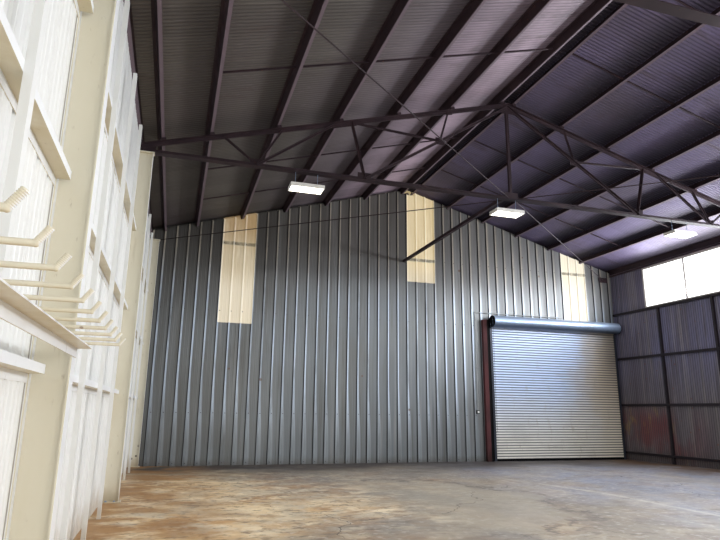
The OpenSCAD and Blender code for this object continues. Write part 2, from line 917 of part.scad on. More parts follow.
module door_guides() {
    color("dimgray") on_floor() both_ends() {
        translate([door_l, curtain_y, 0]) guide();
        translate([door_r, curtain_y, 0]) mirror([1, 0, 0]) guide();
    }
}

// A channel with its back to the hall, and a strip that joins it to the guide
module door_jambs() {
    t = col_flange_t;
    color("maroon") on_floor() both_ends()
    translate([door_l - guide_w - jamb_strip_w - jamb_w, half_l - rib_h - jamb_d, 0])
    linear_extrude(height = jamb_h) union() {
        polygon([
            [0, 0], [jamb_w, 0], [jamb_w, jamb_d], [jamb_w - t, jamb_d],
            [jamb_w - t, t], [t, t], [t, jamb_d], [0, jamb_d]
        ]);
        translate([jamb_w - t / 2, jamb_recess]) square([jamb_strip_w + t / 2, t]);
    }
}

module storage_rail() {
    y0 = half_l - 3 * bay - col_w / 2;
    y1 = half_l - 2 * bay + col_w / 2;
    color("ivory") on_floor()
    translate([-half_w + col_d, y1, rail_z]) rotate([90, 0, 0])
    linear_extrude(height = y1 - y0)
    polygon([
        [0, 0], [rail_t, 0], [rail_t, rail_h - rail_t], [rail_w, rail_h - rail_t],
        [rail_w, rail_h], [0, rail_h]
    ]);
}

module peg() {
    rotate([0, 90, 0]) cylinder(d = peg_dia, h = peg_l, $fn = small_fn);
    translate([peg_l, 0, 0]) {
        sphere(d = peg_dia * 1.1, $fn = small_fn);
        rotate([0, 90 - peg_bend, 0]) cylinder(d = peg_dia, h = peg_tip, $fn = small_fn);
    }
}

module storage_pegs() {
    count = floor((bay - col_w) / peg_pitch);
    color("ivory") on_floor()
    for (i = [0 : count - 1])
        translate([
            -half_w + col_d + rail_t, half_l - 2 * bay - col_w - i * peg_pitch,
            rail_z + rail_h + peg_dia / 2
        ])
        peg();
}

module at_lights() {
    for (k = [1 : bays - 1]) for (x = [-light_x, strut_x, light_x])
        translate([x, half_l - k * bay, seat_h - light_drop]) children();
}

module light_housings() {
    color("white") on_floor() at_lights()
    translate([-light_l / 2, -light_w / 2, -light_h]) difference() {
        cube([light_l, light_w, light_h]);
        translate([light_rim, light_rim, -1])
        cube([light_l - 2 * light_rim, light_w - 2 * light_rim, light_rim + 1]);
    }
}

module light_panels() {
    color("lightyellow") on_floor() at_lights()
    translate([light_rim - light_l / 2, light_rim - light_w / 2, -light_h + 4])
    cube([light_l - 2 * light_rim, light_w - 2 * light_rim, light_rim - 4]);
}

module light_hangers() {
    color("silver") on_floor() at_lights()
    for (x = [-light_l / 3, light_l / 3]) translate([x, 0, 0])
    cylinder(d = 10, h = light_drop, $fn = small_fn);
}

// Folded strips that close the roof's edge against the end cladding
module rake_trim() {
    x = half_w + eave_overhang;
    y0 = outer_y + sheet_t + rib_h;
    z = corrugated_d;
    translate([0, y0 + trim_t, 0]) rotate([90, 0, 0]) linear_extrude(height = trim_t)
    polygon([
        [-cap_w, roof_z(cap_w) - trim_h], [-x, roof_z(x) - trim_h], [-x, roof_z(x)], [-cap_w, roof_z(cap_w)]
    ]);
}

module rake_trims() {
    color("slategray") on_floor() both_ends() both_sides() rake_trim();
}

// An angle over the sheet edges at a corner, where the side sheets are the given depth
module corner_trim(side_d) {
    leg = trim_h;
    translate([-half_w - side_d, outer_y + sheet_t + rib_h, -sheet_lap])
    mirror([0, 1, 0])
    linear_extrude(height = roof_z(half_w + eave_overhang) - trim_h + sheet_lap - 2)
    polygon([
        [-trim_t, -trim_t], [leg, -trim_t], [leg, 0], [0, 0], [0, leg], [-trim_t, leg]
    ]);
}

module corner_trims() {
    color("slategray") on_floor() both_ends() {
        corner_trim(sheet_t + rib_h);
        mirror([1, 0, 0]) corner_trim(corrugated_d);
    }
}

// A chain wheel beside the hood, with the hand chain as one loop that hangs from it
module door_chains() {
    x = door_l - curtain_lap - plate_t - wheel_t / 2 - seat_gap;
    r = wheel_dia / 2;
    color("silver") on_floor() both_ends() translate([x, hood_y, 0]) {
        translate([-wheel_t / 2, 0, hood_z]) rotate([0, 90, 0])
        cylinder(r = r + chain_dia, h = wheel_t, $fn = round_fn);
        for (s = [-1, 1]) translate([0, s * r, chain_z])
            cylinder(d = chain_dia, h = hood_z - chain_z, $fn = small_fn);
        translate([0, 0, chain_z]) rotate([0, 90, 0])
        rotate_extrude(angle = 180, $fn = round_fn)
        translate([r, 0]) circle(d = chain_dia, $fn = small_fn);
    }
}

// A switch box with a round knob on a pan of the lining, and a pipe that runs up from it and
// along the wall over the hood
module door_control() {
    x = door_l - guide_w - jamb_strip_w - jamb_w - control_gap;
    y = half_l - rib_h - pipe_dia / 2 - seat_gap;
    color("gray") on_floor() {
        translate([x - box_w / 2, half_l - rib_h - pipe_dia, control_z - box_w * 0.6])
        cube([box_w, rib_h + pipe_dia, box_w * 1.2]);
        translate([x, half_l - rib_h - pipe_dia + 1, control_z]) rotate([90, 0, 0])
        cylinder(d = knob_dia, h = pipe_dia + 1, $fn = round_fn);
        translate([x, y, control_z]) cylinder(d = pipe_dia, h = conduit_top - control_z, $fn = small_fn);
        translate([x, y, conduit_top]) sphere(d = pipe_dia * 1.1, $fn = small_fn);
        translate([x, y, conduit_top]) rotate([0, 90, 0])
        cylinder(d = pipe_dia, h = pipe_run, $fn = small_fn);
    }
}

floor_slab();
left_columns();
right_columns();
roof_truss_far();
roof_truss_middle();
roof_truss_near();
left_purlins();
right_purlins();
eave_struts();
purlin_bridging();
left_roof_sheets();
right_roof_sheets();
ridge_cap();
bracing_rods();
end_bay_struts();
left_wall_sheets();
left_wall_girts();
left_wall_studs();
right_wall_sheets();
right_wall_frame();
right_window_frame();
right_window_glass();
far_wall_frame();
near_wall_frame();
far_wall_lining();
near_wall_lining();
far_wall_cladding();
near_wall_cladding();
lining_light_strips();
cladding_light_strips();
door_curtains();
door_bottom_bars();
door_hoods();
door_end_plates();
door_guides();
door_jambs();
door_chains();
door_control();
storage_rail();
storage_pegs();
light_housings();
light_panels();
light_hangers();
rake_trims();
corner_trims();
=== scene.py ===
"""Looks of a steel-framed factory building: a gabled shed with ribbed walls, roof trusses and roller doors.

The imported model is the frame. This script gives each of its pieces a finish, and adds the
corrugated sheets, low ribs, screws, bolts, peg threads and chain links that are too fine for it.
Lengths are in metres. X runs across the hall, Y along it, Z up.
"""
import json
import math

import bmesh
import bpy
from mathutils import Euler, Matrix, Vector


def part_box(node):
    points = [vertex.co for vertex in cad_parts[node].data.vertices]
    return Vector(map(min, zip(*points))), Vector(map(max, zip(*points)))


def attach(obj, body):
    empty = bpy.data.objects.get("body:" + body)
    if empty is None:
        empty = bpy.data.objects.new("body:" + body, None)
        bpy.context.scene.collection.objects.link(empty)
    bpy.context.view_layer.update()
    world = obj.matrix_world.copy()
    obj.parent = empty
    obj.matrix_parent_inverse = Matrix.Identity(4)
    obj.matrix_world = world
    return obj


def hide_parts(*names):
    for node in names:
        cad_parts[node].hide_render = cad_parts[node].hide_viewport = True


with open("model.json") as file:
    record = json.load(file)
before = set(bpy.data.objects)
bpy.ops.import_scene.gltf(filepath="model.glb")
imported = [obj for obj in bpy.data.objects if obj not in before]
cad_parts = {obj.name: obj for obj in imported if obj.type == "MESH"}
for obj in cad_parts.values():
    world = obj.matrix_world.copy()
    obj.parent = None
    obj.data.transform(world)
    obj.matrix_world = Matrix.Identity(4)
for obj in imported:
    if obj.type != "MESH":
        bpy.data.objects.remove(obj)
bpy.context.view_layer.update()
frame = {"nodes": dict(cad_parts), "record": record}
nodes = frame["nodes"]

# Sizes that come from the frame
slab_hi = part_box("floor_slab")[1]
roof_lo, roof_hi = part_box("left_roof_sheets")
lining_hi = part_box("far_wall_lining")[1]
cladding_lo, cladding_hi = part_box("far_wall_cladding")
left_lo, left_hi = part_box("left_wall_sheets")
right_lo, right_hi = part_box("right_wall_sheets")
window_lo, window_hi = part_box("right_window_frame")
curtain_lo, curtain_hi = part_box("door_curtains")
truss_lo, truss_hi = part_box("roof_truss_far")
peg_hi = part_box("storage_pegs")[1]
hood_lo, hood_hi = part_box("door_hoods")
control_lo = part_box("door_control")[0]

HALF_W = slab_hi.x
FLOOR = slab_hi.z
WALL_Y = lining_hi.y
ROOF_SHEET_D = 0.018
RIDGE_Z = roof_hi.z - ROOF_SHEET_D
ROOF_SLOPE = (RIDGE_Z - roof_lo.z) / -roof_lo.x
ROOF_ANGLE = math.atan(ROOF_SLOPE)
BAY = (truss_lo.y + truss_hi.y) / 2
FRAMES = (-BAY, 0.0, BAY)
ENDS = (1, -1)

# Ribbed sheets: the main ribs, and the two low ones between them
RIB_PITCH = 0.3048
FIRST_RIB = 0.07
RIB_H = 0.032
RIB_TOP = 0.024
RIB_FOOT = 0.064
MINOR_H = 0.003
MINOR_FOOT = 0.011
MINOR_TOP = 0.005
SHEET_T = 0.004
WALL_SHEET_W = 3 * RIB_PITCH
LINING_DROP = 0.1
SKIN_EDGE = 0.002
SCREW_OFF_RIB = 0.048

# No rib or screw stands nearer to the end of an end wall, or of the left wall, than this
END_WALL_MARGIN = 0.03
LEFT_WALL_MARGIN = 0.1

# Translucent strips: the rib at which each starts, and the height of its foot above the floor
STRIPS = ((6, 3.67), (24, 5.21), (42, 4.08))
STRIP_SPACES = 3

# Doorway
CURTAIN_LAP = 0.05
DOORWAY_MARGIN = 0.01
DOOR_L = curtain_lo.x + CURTAIN_LAP
DOOR_R = curtain_hi.x - CURTAIN_LAP
DOOR_TOP = hood_lo.z
JAMB_SHADOW_STRIP = 0.2
SWITCH_TOP = control_lo.z + 0.108
KNOB_END = control_lo.y + 0.022
SLAT_FOOT = curtain_lo.z
SLAT_H = 0.077

# Heights above the floor of the rails that the screws go into, and places of the purlins across
LEFT_RAILS = (1.61, 2.955, 4.30)
LEFT_SCREW_DROP = 0.03
END_RAILS = (0.06, 1.30, 3.99, 5.90)
PURLINS = (6.28, 5.068, 3.856, 2.644, 1.432, 0.22)
EAVE_PURLIN = 7.105
PURLIN_GAP = PURLINS[0] - PURLINS[1]
PURLIN_RISE = 0.18 / math.cos(ROOF_ANGLE)
PURLIN_LIP = 0.006

# Corrugated sheets
WAVE_PITCH = 0.0762
WAVE_DEPTH = 0.0165
WAVE_STEPS = 6
ROOF_WAVE_SHARE = 0.9
THIN_SHEET = 0.0012
ROOF_SHEET_W = 0.6096
ROOF_LAP = 0.12
ROOF_OFF_PURLIN = 0.0001
EAVE_EDGE = 0.002
RIDGE_EDGE = 0.004
SIDE_SHEET_W = 0.6858
SIDE_OFF_RAIL = 0.0002


def roof_z(x):
    """Height of the roof's underside."""
    return RIDGE_Z - ROOF_SLOPE * abs(x)


def srgb(*colour):
    """A colour as it is seen on a screen, 0 to 255, as a shader colour."""
    parts = [c / 255 for c in colour]
    return (*(c / 12.92 if c <= 0.04045 else ((c + 0.055) / 1.055) ** 2.4 for c in parts), 1.0)


# Nodes

class Nodes:
    """Adds nodes to one tree. Each input takes a socket to read or a plain value."""

    def __init__(self, tree):
        self.tree = tree

    def feed(self, socket, value):
        """Fills an input. A colour of three numbers is one as it is seen on a screen."""
        if isinstance(value, bpy.types.NodeSocket):
            self.tree.links.new(value, socket)
            return
        if socket.type == "RGBA" and len(value) == 3:
            value = srgb(*value)
        socket.default_value = value

    def add(self, kind, inputs, **settings):
        """Adds a node with its inputs and settings, and hands over its outputs."""
        node = self.tree.nodes.new(kind)
        for name, value in settings.items():
            setattr(node, name, value)
        for name, value in inputs.items():
            self.feed(node.inputs[name], value)
        return node.outputs

    def math(self, operation, a, b=0.0, clamp=False):
        return self.add("ShaderNodeMath", {0: a, 1: b}, operation=operation, use_clamp=clamp)[0]

    def plus(self, a, b):
        return self.math("ADD", a, b)

    def minus(self, a, b):
        return self.math("SUBTRACT", a, b)

    def times(self, a, b):
        return self.math("MULTIPLY", a, b)

    def over(self, a, b):
        return self.math("DIVIDE", a, b)

    def size(self, a):
        """A value without its sign."""
        return self.math("ABSOLUTE", a)

    def apart(self, a, b):
        """How far apart two values are."""
        return self.size(self.minus(a, b))

    def stretched(self, vector, stretch):
        return self.add("ShaderNodeVectorMath", {0: vector, 1: stretch}, operation="MULTIPLY")[0]

    def part(self, vector, index):
        """One part of a vector: 0 across the hall, 1 along it, 2 up."""
        return self.add("ShaderNodeSeparateXYZ", {"Vector": vector})[index]

    def ramp(self, value, low, high, to_low=0.0, to_high=1.0):
        """Maps low..high to to_low..to_high, smoothly."""
        inputs = {"Value": value, "From Min": low, "From Max": high, "To Min": to_low, "To Max": to_high}
        return self.add("ShaderNodeMapRange", inputs, interpolation_type="SMOOTHSTEP")[0]

    def fall(self, value, low, high):
        """Goes from 1 at low to 0 at high, smoothly."""
        return self.ramp(value, low, high, 1.0, 0.0)

    def blend(self, factor, a, b, mode="MIX"):
        """Blends two colours. The node's colours are its inputs 6 and 7, and its output 2."""
        return self.add("ShaderNodeMix", {0: factor, 6: a, 7: b}, data_type="RGBA", blend_type=mode)[2]

    def noise(self, place, scale, detail, roughness=0.5):
        return self.add("ShaderNodeTexNoise", {"Vector": place, "Scale": scale, "Detail": detail,
                                               "Roughness": roughness})

    def effect(self, group, **inputs):
        """Places a shared effect."""
        return self.add("ShaderNodeGroup", inputs, node_tree=group)


class Effect(Nodes):
    """A shader node group with named inputs, each with its usual value, and named outputs."""

    def __init__(self, name, inputs, outputs=("Mask",)):
        super().__init__(bpy.data.node_groups.new(name, "ShaderNodeTree"))
        for label, value in inputs.items():
            kind = "NodeSocketFloat" if isinstance(value, float) else "NodeSocketVector"
            self.tree.interface.new_socket(label, in_out="INPUT", socket_type=kind).default_value = value
        for label in outputs:
            self.tree.interface.new_socket(label, in_out="OUTPUT", socket_type="NodeSocketFloat")
        self.given = self.tree.nodes.new("NodeGroupInput").outputs
        self.result = self.tree.nodes.new("NodeGroupOutput").inputs

    def give(self, value, label="Mask"):
        """Sends a value to an output, and hands over the group."""
        self.feed(self.result[label], value)
        return self.tree


# Shared effects

def blotch_effect():
    """Soft patches of any size, stretched along each axis by Stretch."""
    e = Effect("blotches", {
        "Place": (0, 0, 0), "Stretch": (1, 1, 1), "Scale": 1.0, "Low": 0.45, "High": 0.7})
    place = e.stretched(e.given["Place"], e.given["Stretch"])
    noise = e.noise(place, e.given["Scale"], 6.0, 0.6)["Fac"]
    return e.give(e.ramp(noise, e.given["Low"], e.given["High"]))


def speck_effect():
    """Small round specks, such as rust spots. Share is how many of the cells hold one."""
    e = Effect("specks", {"Place": (0, 0, 0), "Scale": 8.0, "Size": 0.2, "Share": 0.3})
    cells = e.add("ShaderNodeTexVoronoi", {"Vector": e.given["Place"], "Scale": e.given["Scale"]})
    chance = e.add("ShaderNodeSeparateColor", {"Color": cells["Color"]})
    kept = e.math("LESS_THAN", chance["Red"], e.given["Share"])
    size = e.times(e.given["Size"], chance["Green"])
    return e.give(e.times(e.fall(cells["Distance"], e.times(size, 0.5), size), kept))


def tint_effect():
    """A steady random value for each sheet of the given width along Along, and the seams between them."""
    e = Effect("sheet tint", {"Along": 0.0, "Width": 0.9}, ("Value", "Seam"))
    seam = 0.008
    count = e.over(e.given["Along"], e.given["Width"])
    chance = e.add("ShaderNodeTexWhiteNoise", {"W": e.math("FLOOR", count)}, noise_dimensions="1D")
    e.give(chance["Value"], "Value")
    share = e.over(seam, e.given["Width"])
    return e.give(e.math("LESS_THAN", e.math("FRACT", count), share), "Seam")


def grime_effect():
    """Dirt that thins out with height above the floor, with a ragged edge."""
    e = Effect("foot grime", {"Place": (0, 0, 0), "Reach": 0.5})
    height = e.minus(e.part(e.given["Place"], 2), FLOOR)
    ragged = e.times(e.noise(e.given["Place"], 3.5, 5.0)["Fac"], e.given["Reach"])
    return e.give(e.fall(height, 0.0, e.times(ragged, 2.0)))


def dust_effect():
    """Dust that lies on faces that look up."""
    e = Effect("dust", {"Place": (0, 0, 0), "Facing": (0, 0, 0)})
    upward = e.ramp(e.part(e.given["Facing"], 2), 0.2, 0.9)
    uneven = e.ramp(e.noise(e.given["Place"], 5.0, 4.0)["Fac"], 0.3, 0.65, 0.5, 1.0)
    return e.give(e.times(upward, uneven))


def valley_dirt_and_shade_effect():
    """Dirt and painted shade in the hollows of a corrugated sheet: 1 in a valley, 0 on a crest."""
    e = Effect("valley_dirt_and_shade", {"Along": 0.0})
    wave = e.math("COSINE", e.times(e.given["Along"], 2 * math.pi / WAVE_PITCH))
    return e.give(e.ramp(wave, -0.2, 1.0))


def rib_light_and_shade_effect():
    """Masks for a main rib's top and right side, where a highlight is painted, its left side, where shade is
    painted, and the lines of painted shade that mark the low ribs.
    """
    e = Effect("wall rib light and shade", {"Across": 0.0, "Spread": 0.0, "Fade": 0.03}, ("Highlight", "FlankShade", "Line"))
    turns = e.over(e.plus(e.given["Across"], HALF_W - FIRST_RIB + RIB_PITCH / 2), RIB_PITCH)
    place = e.minus(e.times(e.math("FRACT", turns), RIB_PITCH), RIB_PITCH / 2)
    top, foot = RIB_TOP / 2, RIB_FOOT / 2
    highlight_end = e.plus(foot - 0.012, e.given["Spread"])
    rib_highlight = e.fall(place, highlight_end, e.plus(highlight_end, e.given["Fade"]))
    e.give(e.times(e.ramp(place, -top - 0.002, -top + 0.006), rib_highlight), "Highlight")
    e.give(e.times(e.ramp(place, -foot - 0.008, -foot), e.fall(place, -top - 0.004, -top)), "FlankShade")
    thirds = e.math("FRACT", e.plus(e.times(turns, 3.0), 0.04))
    return e.give(e.times(e.ramp(thirds, 0.0, 0.03), e.fall(thirds, 0.05, 0.09)), "Line")


BLOTCHES = blotch_effect()
SPECKS = speck_effect()
TINT = tint_effect()
GRIME = grime_effect()
DUST = dust_effect()
VALLEY_DIRT_AND_SHADE = valley_dirt_and_shade_effect()
RIB_LIGHT_AND_SHADE = rib_light_and_shade_effect()


class Finish(Nodes):
    """One material: a Principled shader whose colour, roughness and bump are built up in steps."""

    def __init__(self, name, colour, roughness, constants=None):
        self.material = bpy.data.materials.new(name)
        self.material.use_nodes = True
        super().__init__(self.material.node_tree)
        self.shader = self.tree.nodes["Principled BSDF"].inputs
        coordinates = self.tree.nodes.new("ShaderNodeTexCoord").outputs
        self.place, self.facing = coordinates["Object"], coordinates["Normal"]
        self.colour, self.rough, self.height = colour, roughness, None
        for label, value in (constants or {}).items():
            self.feed(self.shader[label], value)

    def axis(self, index):
        return self.part(self.place, index)

    def blotches(self, scale, low, high, stretch=(1, 1, 1)):
        return self.effect(BLOTCHES, Place=self.place, Stretch=stretch, Scale=scale, Low=low, High=high)[0]

    def specks(self, scale, size, share):
        return self.effect(SPECKS, Place=self.place, Scale=scale, Size=size, Share=share)[0]

    def grime(self, reach):
        return self.effect(GRIME, Place=self.place, Reach=reach)[0]

    def dust(self):
        return self.effect(DUST, Place=self.place, Facing=self.facing)[0]

    def valley_dirt_and_shade(self):
        return self.effect(VALLEY_DIRT_AND_SHADE, Along=self.axis(1))[0]

    def sheet_tint(self, axis, width):
        return self.effect(TINT, Along=self.axis(axis), Width=width)

    def stain(self, mask, colour, strength=1.0):
        """Lays a colour over the finish where the mask says."""
        self.colour = self.blend(self.math("MULTIPLY", mask, strength, True), self.colour, colour)

    def patches(self, colour, strength, scale, low, high, stretch=(1, 1, 1), within=None):
        """Lays a colour over soft patches, or over those within a mask."""
        mask = self.blotches(scale, low, high, stretch)
        if within is not None:
            mask = self.times(within, mask)
        self.stain(mask, colour, strength)

    def shade(self, value, low, high):
        """Makes the finish darker or lighter, from low to high, with a value of 0 to 1."""
        level = self.add("ShaderNodeMapRange", {"Value": value, "To Min": low, "To Max": high})[0]
        grey = self.add("ShaderNodeCombineColor", {"Red": level, "Green": level, "Blue": level})[0]
        self.colour = self.blend(1.0, self.colour, grey, "MULTIPLY")

    def roughen(self, mask, to):
        """Gives the finish another roughness where the mask says."""
        self.rough = self.plus(self.rough, self.times(mask, to - self.rough))

    def grain(self, scale, detail=4.0, amount=1.0, stretch=(1, 1, 1)):
        """Adds fine unevenness to the height of the bump."""
        noise = self.noise(self.stretched(self.place, stretch), scale, detail)
        self.raise_by(noise["Fac"], amount)

    def raise_by(self, value, amount):
        scaled = self.times(value, amount)
        self.height = scaled if self.height is None else self.plus(self.height, scaled)

    def done(self, bump, distance=0.002):
        """Links the colour, roughness and bump, and hands over the material."""
        inputs = {"Strength": bump, "Distance": distance, "Height": self.height}
        bumped = self.add("ShaderNodeBump", inputs)[0]
        for label, value in (("Base Color", self.colour), ("Roughness", self.rough), ("Normal", bumped)):
            self.feed(self.shader[label], value)
        return self.material


# Finishes

DUST_TAN = (150, 138, 120)
RUST = (112, 62, 34)

# The swept patch on the floor, and the pale line that runs along the hall
SWEPT_X, SWEPT_Y = -3.0, 5.0
SWEPT_ACROSS, SWEPT_ALONG = 2.6, 3.0
LINE_X = 1.09

# Where the painted shadow line beside each frame's flange lies on the left wall's sheets
FRAME_SHADOW_LINE = 0.105


def concrete_finish():
    """Worn concrete: golden and streaked at the left, grey at the right, darkest at the end walls."""
    f = Finish("concrete", (244, 218, 172), 0.6)
    x, y = f.axis(0), f.axis(1)
    across = f.plus(x, f.times(f.blotches(0.3, 0.3, 0.7), 3.0))
    f.stain(f.ramp(across, -5.0, -1.6), (132, 125, 116))
    # Bluish grey at the right: the floor's own grey, partly a painted reflection of the window's light
    f.stain(f.ramp(across, 0.5, 4.0), (132, 137, 153), 0.95)
    left = f.ramp(across, -5.0, 1.0, 1.0, 0.15)
    f.patches((180, 168, 148), 0.4, 0.5, 0.42, 0.66, (1, 0.5, 1))
    f.patches((176, 128, 70), 0.85, 1.0, 0.44, 0.7, (0.7, 0.9, 1), left)
    f.patches((140, 98, 52), 0.6, 2.4, 0.48, 0.68, (0.8, 1.0, 1), left)
    f.patches((252, 236, 202), 0.75, 3.4, 0.46, 0.64, (0.8, 1.0, 1), left)
    f.patches((86, 60, 36), 0.6, 10.0, 0.56, 0.64, (0.7, 1.0, 1), left)
    f.patches((118, 108, 96), 0.45, 1.7, 0.48, 0.68, (0.8, 1.0, 1))
    f.patches((98, 88, 79), 0.45, 5.0, 0.52, 0.66, (0.7, 1.0, 1))
    f.patches((204, 198, 190), 0.4, 14.0, 0.52, 0.68, (0.6, 0.6, 1))
    inside, rim = swept_patch(f, x, y)
    f.stain(inside, (160, 152, 136), 0.5)
    f.stain(rim, (84, 76, 70), 0.65)
    f.stain(pale_line(f, x, y), (206, 202, 190), 0.4)
    along = f.size(y)
    band = f.ramp(along, WALL_Y - 3.6, WALL_Y - 0.8)
    f.patches((72, 64, 60), 0.9, 0.8, 0.24, 0.56, (0.6, 1.0, 1), band)
    f.stain(f.ramp(along, WALL_Y - 2.2, WALL_Y - 0.3), (54, 47, 45), 0.75)
    sides = f.ramp(f.size(x), HALF_W - 2.4, HALF_W - 0.4)
    earth = f.blend(left, (86, 66, 44), (158, 112, 58))
    f.patches(earth, 0.85, 1.6, 0.36, 0.56, (0.7, 1, 1), sides)
    cracks = crack_mask(f)
    f.stain(cracks, (50, 43, 37), 0.9)
    f.stain(f.specks(9, 0.14, 0.3), (64, 52, 42), 0.75)
    f.roughen(f.blotches(0.7, 0.4, 0.65), 0.42)
    f.grain(14, 6.0)
    f.grain(120, 3.0, 0.35)
    f.raise_by(cracks, -1.2)
    return f.done(0.35, 0.004)


def swept_patch(f, x, y):
    """A paler patch with a dark, ragged, round edge, left of the middle of the far half."""
    dx = f.over(f.minus(x, SWEPT_X), SWEPT_ACROSS)
    dy = f.over(f.minus(y, SWEPT_Y), SWEPT_ALONG)
    reach = f.math("SQRT", f.plus(f.times(dx, dx), f.times(dy, dy)))
    reach = f.plus(reach, f.times(f.blotches(1.6, 0.3, 0.7), 0.22))
    right_part = f.ramp(x, -3.6, -2.4)
    rim = f.times(f.fall(f.apart(reach, 1.13), 0.005, 0.04), f.blotches(3.0, 0.35, 0.55))
    return f.times(f.fall(reach, 1.02, 1.12), right_part), f.times(rim, right_part)


def pale_line(f, x, y):
    """A faint pale line along the hall, right of its middle."""
    drift = f.ramp(y, 4.6, 8.0, 0.0, 0.6)
    line = f.fall(f.apart(f.plus(x, drift), LINE_X), 0.02, 0.09)
    return f.times(f.times(line, f.fall(y, 6.0, 9.0)), f.blotches(2.5, 0.3, 0.5))


def crack_mask(f):
    """Thin wandering cracks: the edges of large bent cells, broken up."""
    bend = f.stretched(f.noise(f.place, 1.1, 5.0)["Color"], (1.2, 1.2, 0.0))
    place = f.add("ShaderNodeVectorMath", {0: f.place, 1: bend}, operation="ADD")[0]
    cells = f.add("ShaderNodeTexVoronoi", {"Vector": place, "Scale": 0.27}, feature="DISTANCE_TO_EDGE",
                  voronoi_dimensions="2D")
    return f.times(f.fall(cells["Distance"], 0.0008, 0.0035), f.blotches(0.5, 0.42, 0.56))


def cream_finish():
    """Cream gloss on sections: painted light on faces across the hall, painted shade underneath, rust spots,
    and dark rusty spots near the floor painted as holes.
    """
    f = Finish("cream_steel", (226, 221, 201), 0.36)
    f.patches((206, 195, 164), 0.5, 1.2, 0.5, 0.8, (1, 1, 0.3))
    f.patches((172, 158, 128), 0.3, 9, 0.58, 0.76, (1, 1, 0.12))
    # Painted light: faces that look across the hall are made whiter
    f.stain(f.ramp(f.size(f.part(f.facing, 0)), 0.6, 0.95), (234, 238, 244), 0.85)
    # Painted shade: faces that look down get a brownish tint, as if lit only by the floor
    shaded_underside = f.fall(f.part(f.facing, 2), -0.95, -0.6)
    f.patches((200, 184, 146), 0.7, 2.0, 0.25, 0.55, within=shaded_underside)
    f.patches((140, 120, 92), 0.35, 22, 0.62, 0.74, (1, 1, 0.3))
    f.stain(f.grime(0.3), (166, 146, 112), 0.6)
    # Dark spots near the floor painted as holes rusted through: painted shade inside them
    low = f.fall(f.axis(2), FLOOR + 0.35, FLOOR + 0.6)
    f.stain(f.times(low, f.specks(8, 0.34, 0.4)), (46, 32, 26), 0.9)
    f.stain(f.specks(11, 0.22, 0.035), RUST, 0.6)
    f.stain(f.dust(), (196, 184, 156), 0.5)
    f.roughen(f.blotches(6, 0.5, 0.7), 0.55)
    f.grain(55, 3.0, 0.5)
    f.grain(3, 2.0)
    return f.done(0.18)


def white_finish():
    """White painted sheet: faint run marks, joints, a painted shadow line beside each frame, and a dirty
    foot.
    """
    f = Finish("white_sheet", (232, 234, 233), 0.42)
    tint = f.sheet_tint(1, WALL_SHEET_W)
    f.shade(tint["Value"], 0.96, 1.0)
    bays = f.math("FRACT", f.plus(f.over(f.axis(1), BAY), 0.5))
    from_frame = f.size(f.times(f.minus(bays, 0.5), BAY))
    on_sheet = f.math("LESS_THAN", f.axis(0), left_hi.x + 0.001)
    # Painted shadow: a dark line on the sheet where the gap beside each frame's flange is in shade
    f.stain(f.times(f.fall(f.apart(from_frame, FRAME_SHADOW_LINE), 0.014, 0.022), on_sheet), (112, 102, 90), 0.8)
    f.stain(tint["Seam"], (150, 146, 138), 0.5)
    f.patches((228, 228, 224), 0.3, 1.4, 0.6, 0.9, (1, 1, 0.08))
    f.stain(f.grime(0.4), (170, 154, 126), 0.6)
    f.stain(f.specks(6, 0.16, 0.05), (140, 96, 62), 0.6)
    f.grain(4, 3.0)
    return f.done(0.15)


def brown_finish():
    """Dark red-brown primer: scuffed, dusty on top, a painted highlight on the purlins' lips, darker on the
    side rails.
    """
    f = Finish("brown_steel", (44, 31, 37), 0.6, {"Specular IOR Level": 0.3})
    f.patches((62, 45, 50), 0.7, 2.2, 0.45, 0.7)
    f.patches((30, 22, 26), 0.6, 11, 0.55, 0.75)
    x, z = f.axis(0), f.axis(2)
    depth = f.minus(f.minus(RIDGE_Z, f.times(f.size(x), ROOF_SLOPE)), z)
    # Painted highlight: a pale line along the purlins' lower lips
    f.stain(f.fall(f.apart(depth, PURLIN_RISE - PURLIN_LIP), PURLIN_LIP, 0.01), (150, 134, 146), 0.45)
    side = f.times(f.ramp(x, HALF_W - 0.5, HALF_W - 0.4), f.fall(z, FLOOR + 4.6, FLOOR + 5.0))
    f.stain(side, (26, 22, 27), 0.85)
    f.stain(f.specks(12, 0.3, 0.10), RUST, 0.45)
    f.stain(f.dust(), (120, 108, 98), 0.6)
    f.grain(40)
    return f.done(0.25)


def oxide_finish():
    """Red oxide paint on the door jambs, with hand marks, a dirty foot and a black strip by the curtain
    painted as shadow.
    """
    f = Finish("red_oxide", (84, 50, 52), 0.65, {"Specular IOR Level": 0.12})
    f.patches((54, 38, 40), 0.75, 2.0, 0.42, 0.7, (1, 1, 0.35))
    f.patches((78, 42, 38), 0.4, 9, 0.58, 0.74)
    f.stain(f.grime(0.5), (42, 30, 27), 0.8)
    # Painted shadow of the gap by the guide: black on the jamb's last strip by the curtain; the mask also
    # blackens the jambs right of the door
    f.stain(f.math("GREATER_THAN", f.axis(0), DOOR_L - JAMB_SHADOW_STRIP), (6, 4, 6))
    f.grain(45)
    return f.done(0.25)


